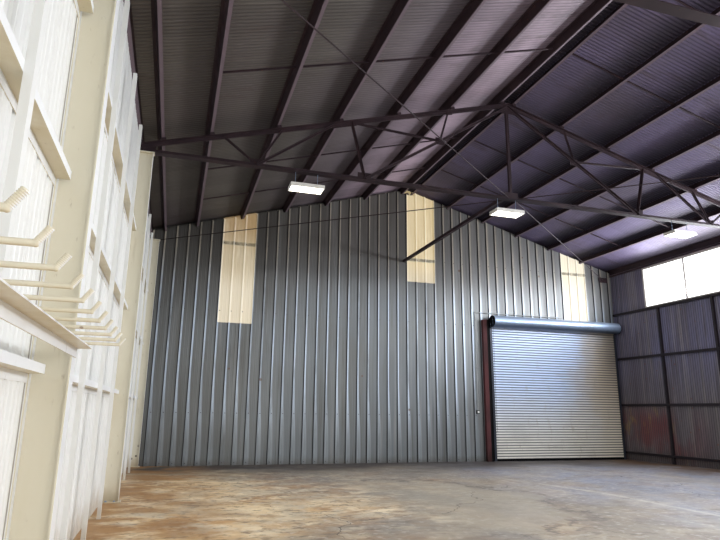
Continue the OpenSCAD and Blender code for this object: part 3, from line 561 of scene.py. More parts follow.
def roof_finish():
    """Dull corrugated sheet: grey at the left, painted light left of the ridge, purple-grey at the right,
    with stains and painted shadow beside the purlins.
    """
    f = Finish("roof_sheet", (96, 92, 88), 0.55, {"Metallic": 0.2})
    x = f.axis(0)
    # Painted light: the left slope grows paler towards the ridge, palest near it, as lit by the window and
    # the middle fitting
    f.stain(f.ramp(x, -5.0, -1.5), (132, 120, 132))
    f.stain(f.ramp(x, -2.8, -1.0), (184, 163, 178), 0.9)
    f.stain(f.ramp(x, -0.1, 0.1), (110, 101, 131))
    tint = f.sheet_tint(1, ROOF_SHEET_W)
    f.shade(tint["Value"], 0.84, 1.1)
    f.stain(tint["Seam"], (48, 43, 46), 0.8)
    f.patches((88, 80, 84), 0.6, 0.5, 0.42, 0.7, (1, 0.6, 1))
    f.patches((78, 64, 60), 0.5, 2.6, 0.54, 0.76, (0.35, 1.4, 1))
    f.patches((140, 132, 138), 0.35, 9, 0.6, 0.75, (0.2, 2, 1))
    # Dirt and painted shade in the valleys of the corrugation
    f.stain(f.valley_dirt_and_shade(), (52, 47, 52), 0.3)
    # Painted shadow: a dark band beside each purlin, on its eave side on the left slope and its ridge side
    # on the right, darker on the right
    last_purlin = f.times(f.math("SIGN", x), PURLINS[-1])
    space = f.math("FRACT", f.over(f.minus(x, last_purlin), PURLIN_GAP))
    f.stain(f.times(f.ramp(space, 0.45, 0.85), f.ramp(x, -0.1, 0.1, 0.5, 0.8)), (28, 24, 32))
    f.grain(20)
    return f.done(0.2)


def side_finish():
    """Corrugated side sheet: bluish, brown-grey low down, with pale dust and a few paint smears."""
    f = Finish("side_sheet", (114, 113, 142), 0.55, {"Metallic": 0.15})
    z = f.axis(2)
    f.stain(f.fall(z, FLOOR + 1.4, FLOOR + 3.4), (108, 102, 102), 0.9)
    tint = f.sheet_tint(1, SIDE_SHEET_W)
    f.shade(tint["Value"], 0.8, 1.1)
    f.stain(tint["Seam"], (46, 42, 48), 0.7)
    f.patches((86, 78, 84), 0.7, 0.7, 0.42, 0.7, (1, 1, 0.35))
    f.patches((138, 132, 138), 0.5, 3, 0.54, 0.74, (1, 1.6, 0.15))
    low = f.fall(z, FLOOR + 1.1, FLOOR + 1.9)
    corner = f.times(low, f.ramp(f.axis(1), WALL_Y - 3.6, WALL_Y - 2.0))
    f.patches((104, 30, 32), 0.75, 1.4, 0.36, 0.6, (1, 0.9, 0.5), corner)
    f.patches((150, 126, 66), 0.65, 1.7, 0.56, 0.66, (1, 1.2, 0.5), low)
    f.patches((150, 142, 134), 0.45, 2.0, 0.48, 0.7, (1, 2.4, 0.12))
    f.patches((64, 58, 62), 0.55, 6.0, 0.5, 0.68, (1, 1.6, 0.08))
    f.stain(f.grime(0.6), (76, 68, 66), 0.7)
    f.stain(f.specks(7, 0.25, 0.12), RUST, 0.6)
    # Dirt and painted shade in the valleys of the corrugation
    f.stain(f.valley_dirt_and_shade(), (40, 36, 42), 0.6)
    f.grain(20)
    return f.done(0.2)


def blue_grey_finish():
    """Grey painted wall sheet: run marks, rust spots, brown near the roof, painted highlights on the rib
    crowns, painted shade on their left flanks, at the low ribs, at the upper left and the left, and painted
    light at the right.
    """
    f = Finish("blue_grey_sheet", (112, 117, 120), 0.38, {"Metallic": 0.5})
    x, z = f.axis(0), f.axis(2)
    f.shade(f.sheet_tint(0, WALL_SHEET_W)["Value"], 0.88, 1.06)
    f.patches((104, 104, 100), 0.5, 0.35, 0.4, 0.65)
    f.stain(f.ramp(z, FLOOR + 4.2, FLOOR + 6.6), (104, 97, 91), 0.65)
    # Painted shade: darker high up at the left, and over the left part of the wall
    f.stain(f.times(f.ramp(z, FLOOR + 3.2, FLOOR + 5.0), f.fall(x, -5.2, -2.2)), (74, 71, 68), 0.7)
    f.stain(f.fall(x, -7.0, -3.0), (88, 88, 86), 0.5)
    # Painted light: paler towards the right, near the window
    f.stain(f.ramp(x, -1.0, 5.0), (136, 138, 138), 0.6)
    f.patches((146, 148, 148), 0.45, 3.2, 0.52, 0.76, (1, 1, 0.06))
    f.patches((80, 78, 74), 0.5, 9, 0.5, 0.7, (1, 1, 0.03))
    spread = f.ramp(z, FLOOR + 0.2, FLOOR + 2.4, 0.08, 0.0)
    ribs = f.effect(RIB_LIGHT_AND_SHADE, Across=x, Spread=spread, Fade=f.ramp(x, -0.5, 3.0, 0.025, 0.09))
    # Painted highlight on the rib crowns: bluish low down and cream near the roof, as if catching the
    # window's light
    rib_highlight = f.blend(f.ramp(z, FLOOR + 0.4, FLOOR + 2.4), (134, 141, 146), (198, 212, 230))
    rib_highlight = f.blend(f.ramp(z, FLOOR + 4.2, FLOOR + 5.8), rib_highlight, (176, 168, 154))
    f.patches(rib_highlight, 0.85, 1.5, 0.2, 0.6, (1, 1, 0.3), ribs["Highlight"])
    # Painted shade on each rib's left flank and along the low ribs
    f.stain(ribs["FlankShade"], (30, 31, 34), 0.9)
    f.stain(ribs["Line"], (78, 80, 80), 0.45)
    f.stain(f.specks(3.5, 0.2, 0.07), (96, 66, 46), 0.7)
    f.stain(f.grime(0.22), (80, 76, 70), 0.5)
    f.roughen(f.blotches(2.4, 0.4, 0.7, (1, 1, 0.2)), 0.5)
    f.grain(2.2, 3.0, 1.0, (1, 1, 0.4))
    return f.done(0.25, 0.004)


def translucent_finish():
    """Pale yellow sheet with stains and run marks, a painted highlight on its ribs, and a painted glow that
    stands in for daylight through it.
    """
    f = Finish("translucent_sheet", (206, 194, 168), 0.45, {"Emission Strength": 0.3})
    x, z = f.axis(0), f.axis(2)
    f.patches((188, 168, 130), 0.7, 1.6, 0.45, 0.72, (1, 1, 0.25))
    f.patches((226, 218, 196), 0.6, 5, 0.52, 0.7, (1, 1, 0.1))
    f.patches((150, 138, 108), 0.4, 18, 0.55, 0.72, (1, 1, 0.06))
    shadow = f.fall(f.apart(z, FLOOR + END_RAILS[3]), 0.03, 0.06)
    f.patches((104, 102, 84), 0.75, 6, 0.3, 0.6, within=shadow)
    left = f.math("LESS_THAN", x, -2.0)
    pale = f.times(left, f.fall(z, FLOOR + 4.5, FLOOR + 5.3))
    brown = f.times(left, f.ramp(z, FLOOR + 5.5, FLOOR + 6.6))
    f.stain(pale, (224, 215, 194), 0.6)
    f.patches((176, 142, 96), 0.6, 3, 0.3, 0.6, (1, 1, 0.4), brown)
    # Painted highlight on the ribs
    f.stain(f.effect(RIB_LIGHT_AND_SHADE, Across=x)["Highlight"], (248, 244, 232), 0.5)
    middle = f.times(f.ramp(z, FLOOR + 5.2, FLOOR + 5.8), f.ramp(x, -2.0, -0.5))
    # Painted light: the glow, brighter in the middle strip and towards the right, darker at the rail behind
    glow = f.blend(f.blotches(0.9, 0.3, 0.7, (1, 1, 0.4)), (228, 216, 188), (200, 178, 138))
    for mask, colour in (
            (pale, (214, 203, 180)), (brown, (172, 140, 94)), (middle, (255, 228, 166)),
            (f.ramp(x, 3.0, 6.0), (255, 252, 240)), (shadow, (96, 94, 78))):
        glow = f.blend(mask, glow, colour)
    f.feed(f.shader["Emission Color"], glow)
    f.grain(8, 3.0)
    return f.done(0.15)


def galvanised_finish():
    """Zinc with its spangle, dulled in patches. The door hoods get a painted highlight high up and painted
    shade low down, and by the end walls it is dark below them.
    """
    f = Finish("galvanised", (148, 167, 194), 0.38, {"Metallic": 0.55})
    spangle = f.add("ShaderNodeTexVoronoi", {"Vector": f.place, "Scale": 70.0})["Color"]
    f.shade(f.add("ShaderNodeSeparateColor", {"Color": spangle})["Red"], 0.9, 1.06)
    f.patches((118, 126, 136), 0.6, 2.5, 0.45, 0.7)
    f.stain(f.dust(), (160, 160, 160), 0.3)
    z = f.axis(2)
    by_wall = f.math("GREATER_THAN", f.size(f.axis(1)), WALL_Y - 0.75)
    foot, deep = hood_lo.z, hood_hi.z - hood_lo.z
    # Painted highlight and painted shade on the round door hoods; darker below the hoods by the end walls
    for mask, colour, strength in (
            (f.ramp(z, foot + 0.45 * deep, foot + 0.7 * deep), (190, 210, 236), 0.75),
            (f.fall(z, foot + 0.05 * deep, foot + 0.4 * deep), (56, 64, 78), 0.8),
            (f.math("LESS_THAN", z, foot), (44, 44, 50), 0.8)):
        f.stain(f.times(by_wall, mask), colour, strength)
    f.grain(30, 3.0)
    return f.done(0.12)


def slat_finish():
    """Pale grey slats with dark joints and a painted highlight along each slat's middle, bluish near the
    chain side, warmer at the right and low down.
    """
    f = Finish("door_slats", (182, 198, 226), 0.42, {"Metallic": 0.1})
    x, z = f.axis(0), f.axis(2)
    warm = f.plus(x, f.times(f.blotches(0.4, 0.3, 0.7), 1.2))
    f.stain(f.ramp(warm, DOOR_L + 3.0, DOOR_R + 0.4), (172, 160, 144))
    f.stain(f.fall(z, SLAT_FOOT + 0.3, SLAT_FOOT + 2.4), (208, 202, 188), 0.85)
    edge = f.apart(f.math("FRACT", f.over(f.minus(z, SLAT_FOOT), SLAT_H)), 0.5)
    # Painted highlight: each slat is lighter along its middle
    f.shade(f.times(f.fall(edge, 0.1, 0.3), f.blotches(0.7, 0.2, 0.5)), 1.0, 1.35)
    dark = f.blend(1.0, f.colour, (0.1, 0.11, 0.13, 1.0), "MULTIPLY")
    f.stain(f.ramp(edge, 0.26, 0.4), dark, 0.9)
    f.patches((160, 156, 148), 0.4, 3.5, 0.52, 0.75, (0.25, 1, 2.5))
    f.patches((140, 130, 114), 0.4, 7, 0.58, 0.74, (1, 1, 0.3))
    corner = f.times(f.ramp(x, DOOR_R - 0.9, DOOR_R - 0.1), f.ramp(z, FLOOR + 1.8, FLOOR + 3.4))
    f.stain(corner, (92, 88, 84), 0.6)
    f.grain(25, 3.0, 1.0, (0.2, 1, 3))
    return f.done(0.15)


def black_finish():
    """Black paint with a little dust."""
    f = Finish("black_steel", (7, 8, 12), 0.7, {"Specular IOR Level": 0.08})
    f.patches((22, 20, 22), 0.6, 5, 0.5, 0.72)
    f.stain(f.dust(), (40, 36, 34), 0.3)
    f.grain(50, 3.0)
    return f.done(0.2)


def window_paint_finish():
    """Grey paint on the window's bars, patchy and dusty."""
    f = Finish("window_paint", (176, 172, 166), 0.5)
    f.patches((132, 124, 114), 0.6, 4, 0.5, 0.72)
    f.stain(f.dust(), DUST_TAN, 0.5)
    f.grain(40, 3.0)
    return f.done(0.2)


def glass_finish():
    """Obscured glass with a painted glow for the daylight outside, and a little dust on it."""
    f = Finish("window_glass", (255, 255, 255), 0.12, {
        "Transmission Weight": 1.0, "IOR": 1.45,
        "Emission Color": (250, 252, 255), "Emission Strength": 1.0})
    f.patches((240, 242, 240), 0.6, 2.5, 0.45, 0.75)
    f.grain(90, 2.0)
    return f.done(0.3)


def fitting_finish():
    """White powder coat, dusty on top."""
    f = Finish("fitting_white", (236, 236, 232), 0.35)
    f.patches((206, 202, 190), 0.5, 6, 0.5, 0.75)
    f.stain(f.dust(), DUST_TAN, 0.6)
    f.grain(60, 3.0)
    return f.done(0.1, 0.001)


def diffuser_finish():
    """The lit panel of a light fitting."""
    f = Finish("light_diffuser", (255, 250, 236), 0.5, {
        "Emission Color": (255, 248, 228), "Emission Strength": 6.0})
    f.grain(160, 2.0)
    return f.done(0.1, 0.001)


def control_finish():
    """Grey pipe, and a dark switch box with a white knob."""
    f = Finish("control_grey", (158, 162, 162), 0.5)
    f.patches((118, 116, 110), 0.5, 8, 0.5, 0.75)
    f.stain(f.fall(f.axis(2), SWITCH_TOP, SWITCH_TOP + 0.002), (34, 33, 34), 0.95)
    f.stain(f.math("LESS_THAN", f.axis(1), KNOB_END), (236, 236, 232))
    f.grain(60, 3.0)
    return f.done(0.15, 0.001)


FINISHES = {
    "concrete": concrete_finish(),
    "cream_steel": cream_finish(),
    "white_sheet": white_finish(),
    "brown_steel": brown_finish(),
    "red_oxide": oxide_finish(),
    "roof_sheet": roof_finish(),
    "side_sheet": side_finish(),
    "blue_grey_sheet": blue_grey_finish(),
    "translucent_sheet": translucent_finish(),
    "galvanised": galvanised_finish(),
    "door_slats": slat_finish(),
    "black_steel": black_finish(),
    "window_paint": window_paint_finish(),
    "window_glass": glass_finish(),
    "fitting_white": fitting_finish(),
    "light_diffuser": diffuser_finish(),
    "control_grey": control_finish(),
}


def paint_frame():
    """Gives each piece of the frame the finish that the record names for it."""
    for part in frame["record"]["subparts"]:
        for slot in nodes[part["node"]].material_slots:
            slot.material = FINISHES[part["material_slot"]]


# Mesh helpers

def mesh_of(bm, name="template"):
    mesh = bpy.data.meshes.new(name)
    bm.to_mesh(mesh)
    bm.free()
    return mesh


def put(name, data):
    """Puts a mesh, a lamp or a camera into the scene."""
    made = bpy.data.objects.new(name, data)
    bpy.context.scene.collection.objects.link(made)
    return made


def keep(bm, name, slot):
    """Turns a bmesh into a piece of the building that rides on its one body."""
    bmesh.ops.recalc_face_normals(bm, faces=bm.faces)
    mesh = mesh_of(bm, name)
    mesh.materials.append(FINISHES[slot])
    piece = put(name, mesh)
    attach(piece, "root")
    return piece


def corners(geom):
    return [g for g in geom if isinstance(g, bmesh.types.BMVert)]


def sweep(bm, points, along):
    """Draws a line through the points and extrudes it into a strip of faces."""
    verts = [bm.verts.new(p) for p in points]
    edges = [bm.edges.new(pair) for pair in zip(verts, verts[1:])]
    made = bmesh.ops.extrude_edge_only(bm, edges=edges)["geom"]
    bmesh.ops.translate(bm, verts=corners(made), vec=along)
    return [g for g in made if isinstance(g, bmesh.types.BMFace)]


def thicken(bm, faces, direction):
    """Gives a sheet its thickness, on the side that direction points to."""
    made = bmesh.ops.extrude_face_region(bm, geom=faces)["geom"]
    bmesh.ops.translate(bm, verts=corners(made), vec=direction)


def stamp(template, places):
    """One bmesh with a copy of the template mesh at each place."""
    whole = bmesh.new()
    for place in places:
        copy = template.copy()
        copy.transform(place)
        whole.from_mesh(copy)
        bpy.data.meshes.remove(copy)
    return whole


def cone(bm, sides, foot, top, height, place):
    """A closed cone with its middle at the place, or a cylinder where foot and top are the same."""
    bmesh.ops.create_cone(bm, cap_ends=True, segments=sides, radius1=foot, radius2=top, depth=height,
                          matrix=place)


def head(*layers):
    """A washer with a head on it, on the XY plane. A layer is its sides, foot and top radius, and height."""
    bm = bmesh.new()
    z = 0.0
    for sides, foot, top, height in layers:
        cone(bm, sides, foot, top, height, Matrix.Translation((0, 0, z + height / 2)))
        z += height
    return mesh_of(bm)


def screw_head(radius=0.0085, height=0.006):
    return head((6, radius * 1.5, radius * 1.35, height * 0.3), (6, radius, radius * 0.85, height * 0.7))


FACING = {
    "-y": Matrix.Rotation(math.pi / 2, 4, "X"),
    "+y": Matrix.Rotation(-math.pi / 2, 4, "X"),
    "-x": Matrix.Rotation(-math.pi / 2, 4, "Y"),
}


def at(x, y, z, facing):
    """A place on a wall, turned to face the way that the wall does."""
    return Matrix.Translation((x, y, z)) @ FACING[facing]


# Corrugated sheets

def wave_points(start, end, point):
    """Points along a run of waves, in step with all others. Point turns (distance, height) into a place."""
    step = WAVE_PITCH / WAVE_STEPS
    first, last = math.ceil(start / step + 0.1), math.floor(end / step - 0.1)
    stations = [start, *(i * step for i in range(first, last + 1)), end]
    turn = 2 * math.pi / WAVE_PITCH
    return [point(s, WAVE_DEPTH / 2 * (1 - math.cos(s * turn))) for s in stations]


def smooth_waves(piece):
    piece.data.shade_smooth()
    piece.data.set_sharp_from_angle(angle=math.radians(60))


def roof_sheets(side, node):
    """One slope in three runs of sheets, each lapped over the run below it at a purlin."""
    bm = bmesh.new()
    laps = (abs(roof_lo.x) - EAVE_EDGE, PURLINS[1], PURLINS[3], RIDGE_EDGE)
    up = Vector((side * math.sin(ROOF_ANGLE), 0, math.cos(ROOF_ANGLE)))
    for run, (low, high) in enumerate(zip(laps, laps[1:])):
        foot = low + (ROOF_LAP if run else 0.0)
        lift = THIN_SHEET * (run % 2) + ROOF_OFF_PURLIN

        def point(y, height):
            return Vector((side * foot, y, roof_z(foot))) + up * (height * ROOF_WAVE_SHARE + lift)

        slope = Vector((side * (high - foot), 0, roof_z(high) - roof_z(foot)))
        faces = sweep(bm, wave_points(roof_lo.y, roof_hi.y, point), slope)
        thicken(bm, faces, up * THIN_SHEET)
    piece = keep(bm, node.replace("sheets", "corrugation"), "roof_sheet")
    smooth_waves(piece)
    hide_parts(node)


def side_sheets():
    """Upright corrugated sheets round the strip window of the right wall."""
    bm = bmesh.new()
    stretches = (
        (right_lo.y, window_lo.y, right_lo.z, right_hi.z),
        (window_lo.y, window_hi.y, right_lo.z, window_lo.z),
        (window_lo.y, window_hi.y, window_hi.z, right_hi.z),
        (window_hi.y, right_hi.y, right_lo.z, right_hi.z),
    )
    for y0, y1, z0, z1 in stretches:
        def point(y, height):
            return Vector((HALF_W + SIDE_OFF_RAIL + height, y, z0))

        faces = sweep(bm, wave_points(y0, y1, point), Vector((0, 0, z1 - z0)))
        thicken(bm, faces, Vector((THIN_SHEET, 0, 0)))
    piece = keep(bm, "right_wall_corrugation", "side_sheet")
    smooth_waves(piece)
    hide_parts("right_wall_sheets")


# Low ribs of the ribbed sheets

ALONG_X = Vector((1, 0, 0))
ALONG_Y = Vector((0, 1, 0))


def low_rib(bm, place, along, out, high):
    """A low rib from a place at its foot to a height. Along runs along the wall, out away from it."""
    profile = ((-MINOR_FOOT, 0), (-MINOR_TOP, MINOR_H), (MINOR_TOP, MINOR_H), (MINOR_FOOT, 0))
    outline = [place + along * a + out * h for a, h in profile]
    sweep(bm, outline, Vector((0, 0, high - place.z)))


def main_rib_xs():
    """Places of the main ribs across an end wall."""
    for k in range(int((2 * HALF_W - FIRST_RIB) / RIB_PITCH) + 1):
        yield -HALF_W + FIRST_RIB + k * RIB_PITCH


def left_rib_ys(beside=0.0):
    """Places of the main ribs along the left wall, or beside them."""
    y = left_lo.y + FIRST_RIB + beside
    while y < left_hi.y - LEFT_WALL_MARGIN:
        yield y
        y += RIB_PITCH


def in_door(x):
    return DOOR_L - DOORWAY_MARGIN < x < DOOR_R + DOORWAY_MARGIN


def end_wall_span(x, foot, drop):
    """Lowest and highest point of the painted sheet at x, and of the translucent one above it."""
    top = roof_z(x) - drop
    low = DOOR_TOP if in_door(x) else foot
    for rib, strip_foot in STRIPS:
        left = -HALF_W + FIRST_RIB + rib * RIB_PITCH
        if left < x < left + STRIP_SPACES * RIB_PITCH:
            return (low, strip_foot + FLOOR), (strip_foot + FLOOR, top)
    return (low, top), None


def end_wall_ribs():
    """Low ribs of the four end wall skins, and of their translucent strips."""
    skins = (
        ("lining_low_ribs", lining_hi.y - SHEET_T, FLOOR + SKIN_EDGE, LINING_DROP, -1),
        ("cladding_low_ribs", cladding_hi.y - RIB_H, cladding_lo.z, SKIN_EDGE, 1),
    )
    xs = [rib + third * RIB_PITCH / 3 for rib in main_rib_xs() for third in (1, 2)]
    for name, pan_y, foot, drop, out in skins:
        painted, clear = bmesh.new(), bmesh.new()
        for x in (x for x in xs if x < HALF_W - END_WALL_MARGIN):
            for bm, span in zip((painted, clear), end_wall_span(x, foot, drop)):
                if not span or span[0] >= span[1]:
                    continue
                for end in ENDS:
                    low_rib(bm, Vector((x, end * pan_y, span[0])), ALONG_X, end * out * ALONG_Y, span[1])
        keep(painted, name, "blue_grey_sheet")
        keep(clear, name.replace("low", "strip"), "translucent_sheet")


def left_wall_ribs():
    """Low ribs on both faces of the left wall."""
    bm = bmesh.new()
    for rib in left_rib_ys():
        for third in (1, 2):
            for x, out in ((left_hi.x, 1), (left_hi.x - SHEET_T, -1)):
                place = Vector((x, rib + third / 3 * RIB_PITCH, left_lo.z))
                low_rib(bm, place, ALONG_Y, out * ALONG_X, left_hi.z)
    keep(bm, "left_wall_low_ribs", "white_sheet")


# Screws and bolts

def end_wall_screws():
    """A screw beside each main rib at each rail inside the end walls, on both skins."""
    under_roof = LINING_DROP + 0.1
    lining, cladding = [], []
    for x in (rib + SCREW_OFF_RIB for rib in main_rib_xs()):
        for z in (FLOOR + rail for rail in END_RAILS):
            if (in_door(x) and z < DOOR_TOP) or z > roof_z(x) - under_roof:
                continue
            for end, facing_in, facing_out in ((1, "-y", "+y"), (-1, "+y", "-y")):
                lining.append(at(x, end * (lining_hi.y - SHEET_T), z, facing_in))
                cladding.append(at(x, end * (cladding_hi.y - RIB_H), z, facing_out))
    keep(stamp(screw_head(), lining), "lining_screws", "brown_steel")
    keep(stamp(screw_head(), cladding), "cladding_screws", "galvanised")


def left_wall_screws():
    """A screw beside each main rib at each rail of the left wall, on its outside."""
    places = [at(left_hi.x - SHEET_T, y, FLOOR + rail - LEFT_SCREW_DROP, "-x")
              for y in left_rib_ys(SCREW_OFF_RIB) for rail in LEFT_RAILS]
    keep(stamp(screw_head(), places), "left_wall_screws", "galvanised")


def roof_screws():
    """Screws on every third crest of the roof sheets, over each purlin."""
    places = []
    waves = int(roof_hi.y / WAVE_PITCH)
    crest = (WAVE_DEPTH * ROOF_WAVE_SHARE + 2 * THIN_SHEET) / math.cos(ROOF_ANGLE)
    for side, xs in ((1, PURLINS), (-1, (EAVE_PURLIN, *PURLINS))):
        tilt = Matrix.Rotation(side * ROOF_ANGLE, 4, "Y")
        for x in xs:
            for k in range(1 - waves, waves, 3):
                spot = (side * x, (k + 0.5) * WAVE_PITCH, roof_z(x) + crest)
                places.append(Matrix.Translation(spot) @ tilt)
    keep(stamp(screw_head(0.009, 0.007), places), "roof_screws", "galvanised")


def column_bolts():
    """Two holding-down bolts on each side of a column's web."""
    plate_top = FLOOR + 0.016
    from_wall, from_web = (0.07, 0.19), (-0.09, 0.09)
    places = [Matrix.Translation((side * (HALF_W - dx), y + dy, plate_top))
              for side in (-1, 1) for y in FRAMES for dy in from_web for dx in from_wall]
    bolt = head((12, 0.021, 0.021, 0.003), (6, 0.0165, 0.0155, 0.012))
    keep(stamp(bolt, places), "anchor_bolts", "galvanised")


# Pegs on the storage rail

PEGS = 19
PEG_PITCH = 0.288
FIRST_PEG = 0.011
PEG_RADIUS = 0.01
PEG_TIP_ANGLE = math.radians(35)
THREADS = 9
THREAD_PITCH = 0.0056
FIRST_THREAD = 0.003


def peg_threads():
    """The upturned end of each peg is threaded: a stack of thin rings along it."""
    ring = bmesh.new()
    cone(ring, 12, 0.0122, 0.0104, 0.0035, Matrix())
    lean, rise = math.sin(PEG_TIP_ANGLE), math.cos(PEG_TIP_ANGLE)
    tip = Vector((peg_hi.x - PEG_RADIUS * rise, peg_hi.y - FIRST_PEG, peg_hi.z - PEG_RADIUS * lean))
    turn = Matrix.Rotation(PEG_TIP_ANGLE, 4, "Y")
    places = []
    for i in range(PEGS):
        for k in range(THREADS):
            down = FIRST_THREAD + k * THREAD_PITCH
            spot = tip - Vector((lean * down, i * PEG_PITCH, rise * down))
            places.append(Matrix.Translation(spot) @ turn)
    keep(stamp(mesh_of(ring), places), "peg_threads", "cream_steel")


# Door chain

CHAIN_WHEEL = 0.075
CHAIN_HALF_W = 0.005
LINK_PITCH = 0.0205


def chain_link():
    """One oval link of round wire, upright in the XZ plane."""
    wire, half, bend = 0.0022, 0.009, 0.0075
    bm = bmesh.new()
    ring = bmesh.ops.create_circle(bm, segments=6, radius=wire)["verts"]
    bmesh.ops.translate(bm, verts=ring, vec=(bend, 0, -half / 2))
    made = bmesh.ops.extrude_edge_only(bm, edges=list(bm.edges))["geom"]
    bmesh.ops.translate(bm, verts=corners(made), vec=(0, 0, half))
    for way in (1, -1):
        rim = [e for e in bm.edges if all(v.co.z * way > half / 2 - 1e-6 for v in e.verts)]
        bmesh.ops.spin(bm, geom=rim, cent=(0, 0, way * half / 2), axis=(0, -way, 0), dvec=(0, 0, 0),
                       angle=math.pi, steps=6)
    side = [f for f in bm.faces if abs(f.calc_center_median().z) < half / 4]
    copy = bmesh.ops.duplicate(bm, geom=side)["geom"]
    bmesh.ops.rotate(bm, verts=corners(copy), cent=(0, 0, 0), matrix=Matrix.Rotation(math.pi, 3, "Z"))
    bmesh.ops.remove_doubles(bm, verts=bm.verts, dist=1e-5)
    return mesh_of(bm)


def door_chains():
    """Each door's hand chain, half a loop at a time: a strand and the turn at its end. Then its wheel."""
    lo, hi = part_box("door_chains")
    x = (lo.x + hi.x) / 2
    y_mid = hi.y - CHAIN_WHEEL - CHAIN_HALF_W
    bottom = lo.z + CHAIN_WHEEL + CHAIN_HALF_W
    top = hood_lo.z + (hood_hi.z - hood_lo.z) / 2
    strand = top - bottom
    arc = math.pi * CHAIN_WHEEL
    total = 2 * (strand + arc)
    count = round(total / LINK_PITCH)
    places = []
    discs = bmesh.new()
    for end in ENDS:
        for i in range(count):
            half, past = divmod(i * total / count, strand + arc)
            run = min(past, strand)
            angle = half * math.pi + (past - run) / CHAIN_WHEEL
            z = top - run if half else bottom + run
            spot = (x, end * (y_mid + CHAIN_WHEEL * math.cos(angle)), z + CHAIN_WHEEL * math.sin(angle))
            twist = Matrix.Rotation(math.pi / 2 * (i % 2) + math.pi / 4, 4, "Z")
            places.append(Matrix.Translation(spot) @ Matrix.Rotation(end * angle, 4, "X") @ twist)
        for radius, depth, shift in ((-0.006, 0.012, 0), (0.008, 0.003, 0.008), (0.008, 0.003, -0.008)):
            turn = Matrix.Translation((x + shift, end * y_mid, top)) @ Matrix.Rotation(math.pi / 2, 4, "Y")
            cone(discs, 32, CHAIN_WHEEL + radius, CHAIN_WHEEL + radius, depth, turn)
    piece = keep(stamp(chain_link(), places), "hand_chains", "galvanised")
    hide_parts("door_chains")
    keep(discs, "chain_wheels", "black_steel")


# Camera, lights and surroundings

CAMERA_AT = (-6.518, -4.378, 1.553)
CAMERA_YAW, CAMERA_PITCH, CAMERA_ROLL = 0.301, 0.235, 0.012
FOCAL_PIXELS, FRAME_PIXELS, SENSOR = 586.918, 720, 36.0


def set_camera():
    forward = Vector((math.sin(CAMERA_YAW) * math.cos(CAMERA_PITCH),
                      math.cos(CAMERA_YAW) * math.cos(CAMERA_PITCH), math.sin(CAMERA_PITCH)))
    level = Vector((math.cos(CAMERA_YAW), -math.sin(CAMERA_YAW), 0))
    above = level.cross(forward)
    right = level * math.cos(CAMERA_ROLL) + above * math.sin(CAMERA_ROLL)
    up = above * math.cos(CAMERA_ROLL) - level * math.sin(CAMERA_ROLL)
    data = bpy.data.cameras.new("camera")
    data.sensor_fit = "HORIZONTAL"
    data.sensor_width = SENSOR
    data.lens = FOCAL_PIXELS * SENSOR / FRAME_PIXELS
    data.clip_end = 400
    camera = put("camera", data)
    turn = Matrix((right, up, -forward)).transposed().to_4x4()
    camera.matrix_world = Matrix.Translation(CAMERA_AT) @ turn
    bpy.context.scene.camera = camera


def area_lamp(name, place, towards, size, level, colour=(1, 1, 1)):
    """A soft lamp that the camera doesn't see. Level is its brightness, where 1 is plain white."""
    data = bpy.data.lights.new(name, "AREA")
    data.shape = "RECTANGLE"
    data.size, data.size_y = size
    data.energy = level * math.pi * size[0] * size[1]
    data.color = colour
    lamp = put(name, data)
    lamp.location = place
    lamp.rotation_euler = Vector(towards).to_track_quat("-Z", "Y").to_euler()
    lamp.visible_camera = False


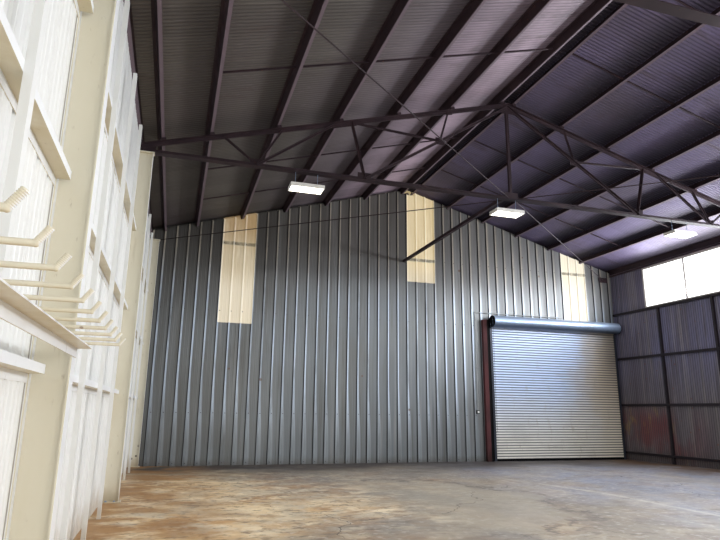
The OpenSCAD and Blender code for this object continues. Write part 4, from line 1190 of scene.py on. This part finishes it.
def light_the_hall():
    """Daylight from the strip window and the near end, the fittings, and a soft level everywhere."""
    down, up = (0, 0, -1), (0, 0, 1)
    hall_w, hall_l = 2 * HALF_W, 2 * WALL_Y
    window_l, window_h = hall_l - 3.2, window_hi.z - window_lo.z
    window_z = (window_lo.z + window_hi.z) / 2
    area_lamp("window_light", (HALF_W - 0.12, 0, window_z), (-1, 0, -0.12), (window_l, window_h), 12.0,
              (0.9, 0.95, 1.0))
    area_lamp("window_spill", (HALF_W - 0.14, 0, window_lo.z), (-0.75, 0, 0.66), (window_l, 0.5), 16.0,
              (0.98, 0.96, 1.0))
    area_lamp("roof_light", (0, 0, truss_lo.z - 0.4), down, (hall_w - 3, hall_l - 2), 0.8)
    area_lamp("floor_light", (0, 0, FLOOR + 0.3), up, (hall_w - 2, hall_l - 2), 0.1, (1.0, 0.96, 0.9))
    area_lamp("near_end_light", (0, -WALL_Y + 0.4, 2.8), (0, 1, 0), (12, 4.6), 3.5, (1.0, 0.99, 0.96))
    lo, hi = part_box("light_panels")
    middle = (lo.x + hi.x) / 2 - 0.13
    for x in (lo.x + 0.3, middle, hi.x - 0.3):
        for y in FRAMES:
            area_lamp("fitting_light", (x, y, lo.z - 0.02), down, (0.6, 0.3), 14.0, (1.0, 0.97, 0.9))
    area_lamp("middle_fitting_spill", (middle, 0, hi.z + 0.25), up, (0.8, 0.5), 38.0, (1.0, 0.9, 0.96))


def light_outside():
    """Even daylight, and plain white where the sky is seen directly, in gloss or through glass."""
    world = bpy.data.worlds.new("daylight")
    world.use_nodes = True
    bpy.context.scene.world = world
    sky = Nodes(world.node_tree)
    ray = sky.add("ShaderNodeLightPath", {})
    seen = sky.math("MAXIMUM", ray["Is Camera Ray"], ray["Is Glossy Ray"])
    seen = sky.math("MAXIMUM", seen, ray["Is Transmission Ray"])
    background = sky.tree.nodes["Background"].inputs
    sky.feed(background["Color"], sky.blend(seen, (0.86, 0.88, 0.92, 1), (1, 1, 1, 1)))
    background["Strength"].default_value = 1.0
    data = bpy.data.lights.new("sun", "SUN")
    data.energy = 1.1
    data.angle = math.radians(12)
    put("sun", data).rotation_euler = Euler((math.radians(42), 0, math.radians(35)))


def pale_ground():
    """A plain pale ground, a little below the floor slab."""
    material = bpy.data.materials.new("ground")
    material.use_nodes = True
    material.node_tree.nodes["Principled BSDF"].inputs["Base Color"].default_value = srgb(226, 226, 224)
    bm = bmesh.new()
    bmesh.ops.create_grid(bm, x_segments=1, y_segments=1, size=70)
    bmesh.ops.translate(bm, verts=bm.verts, vec=(0, 0, -0.003))
    mesh = mesh_of(bm, "ground")
    mesh.materials.append(material)
    ground = put("ground", mesh)


paint_frame()
roof_sheets(-1, "left_roof_sheets")
roof_sheets(1, "right_roof_sheets")
side_sheets()
end_wall_ribs()
left_wall_ribs()
end_wall_screws()
left_wall_screws()
roof_screws()
column_bolts()
peg_threads()
door_chains()

set_camera()
light_the_hall()
light_outside()
pale_ground()
bpy.context.scene.view_settings.view_transform = "Standard"
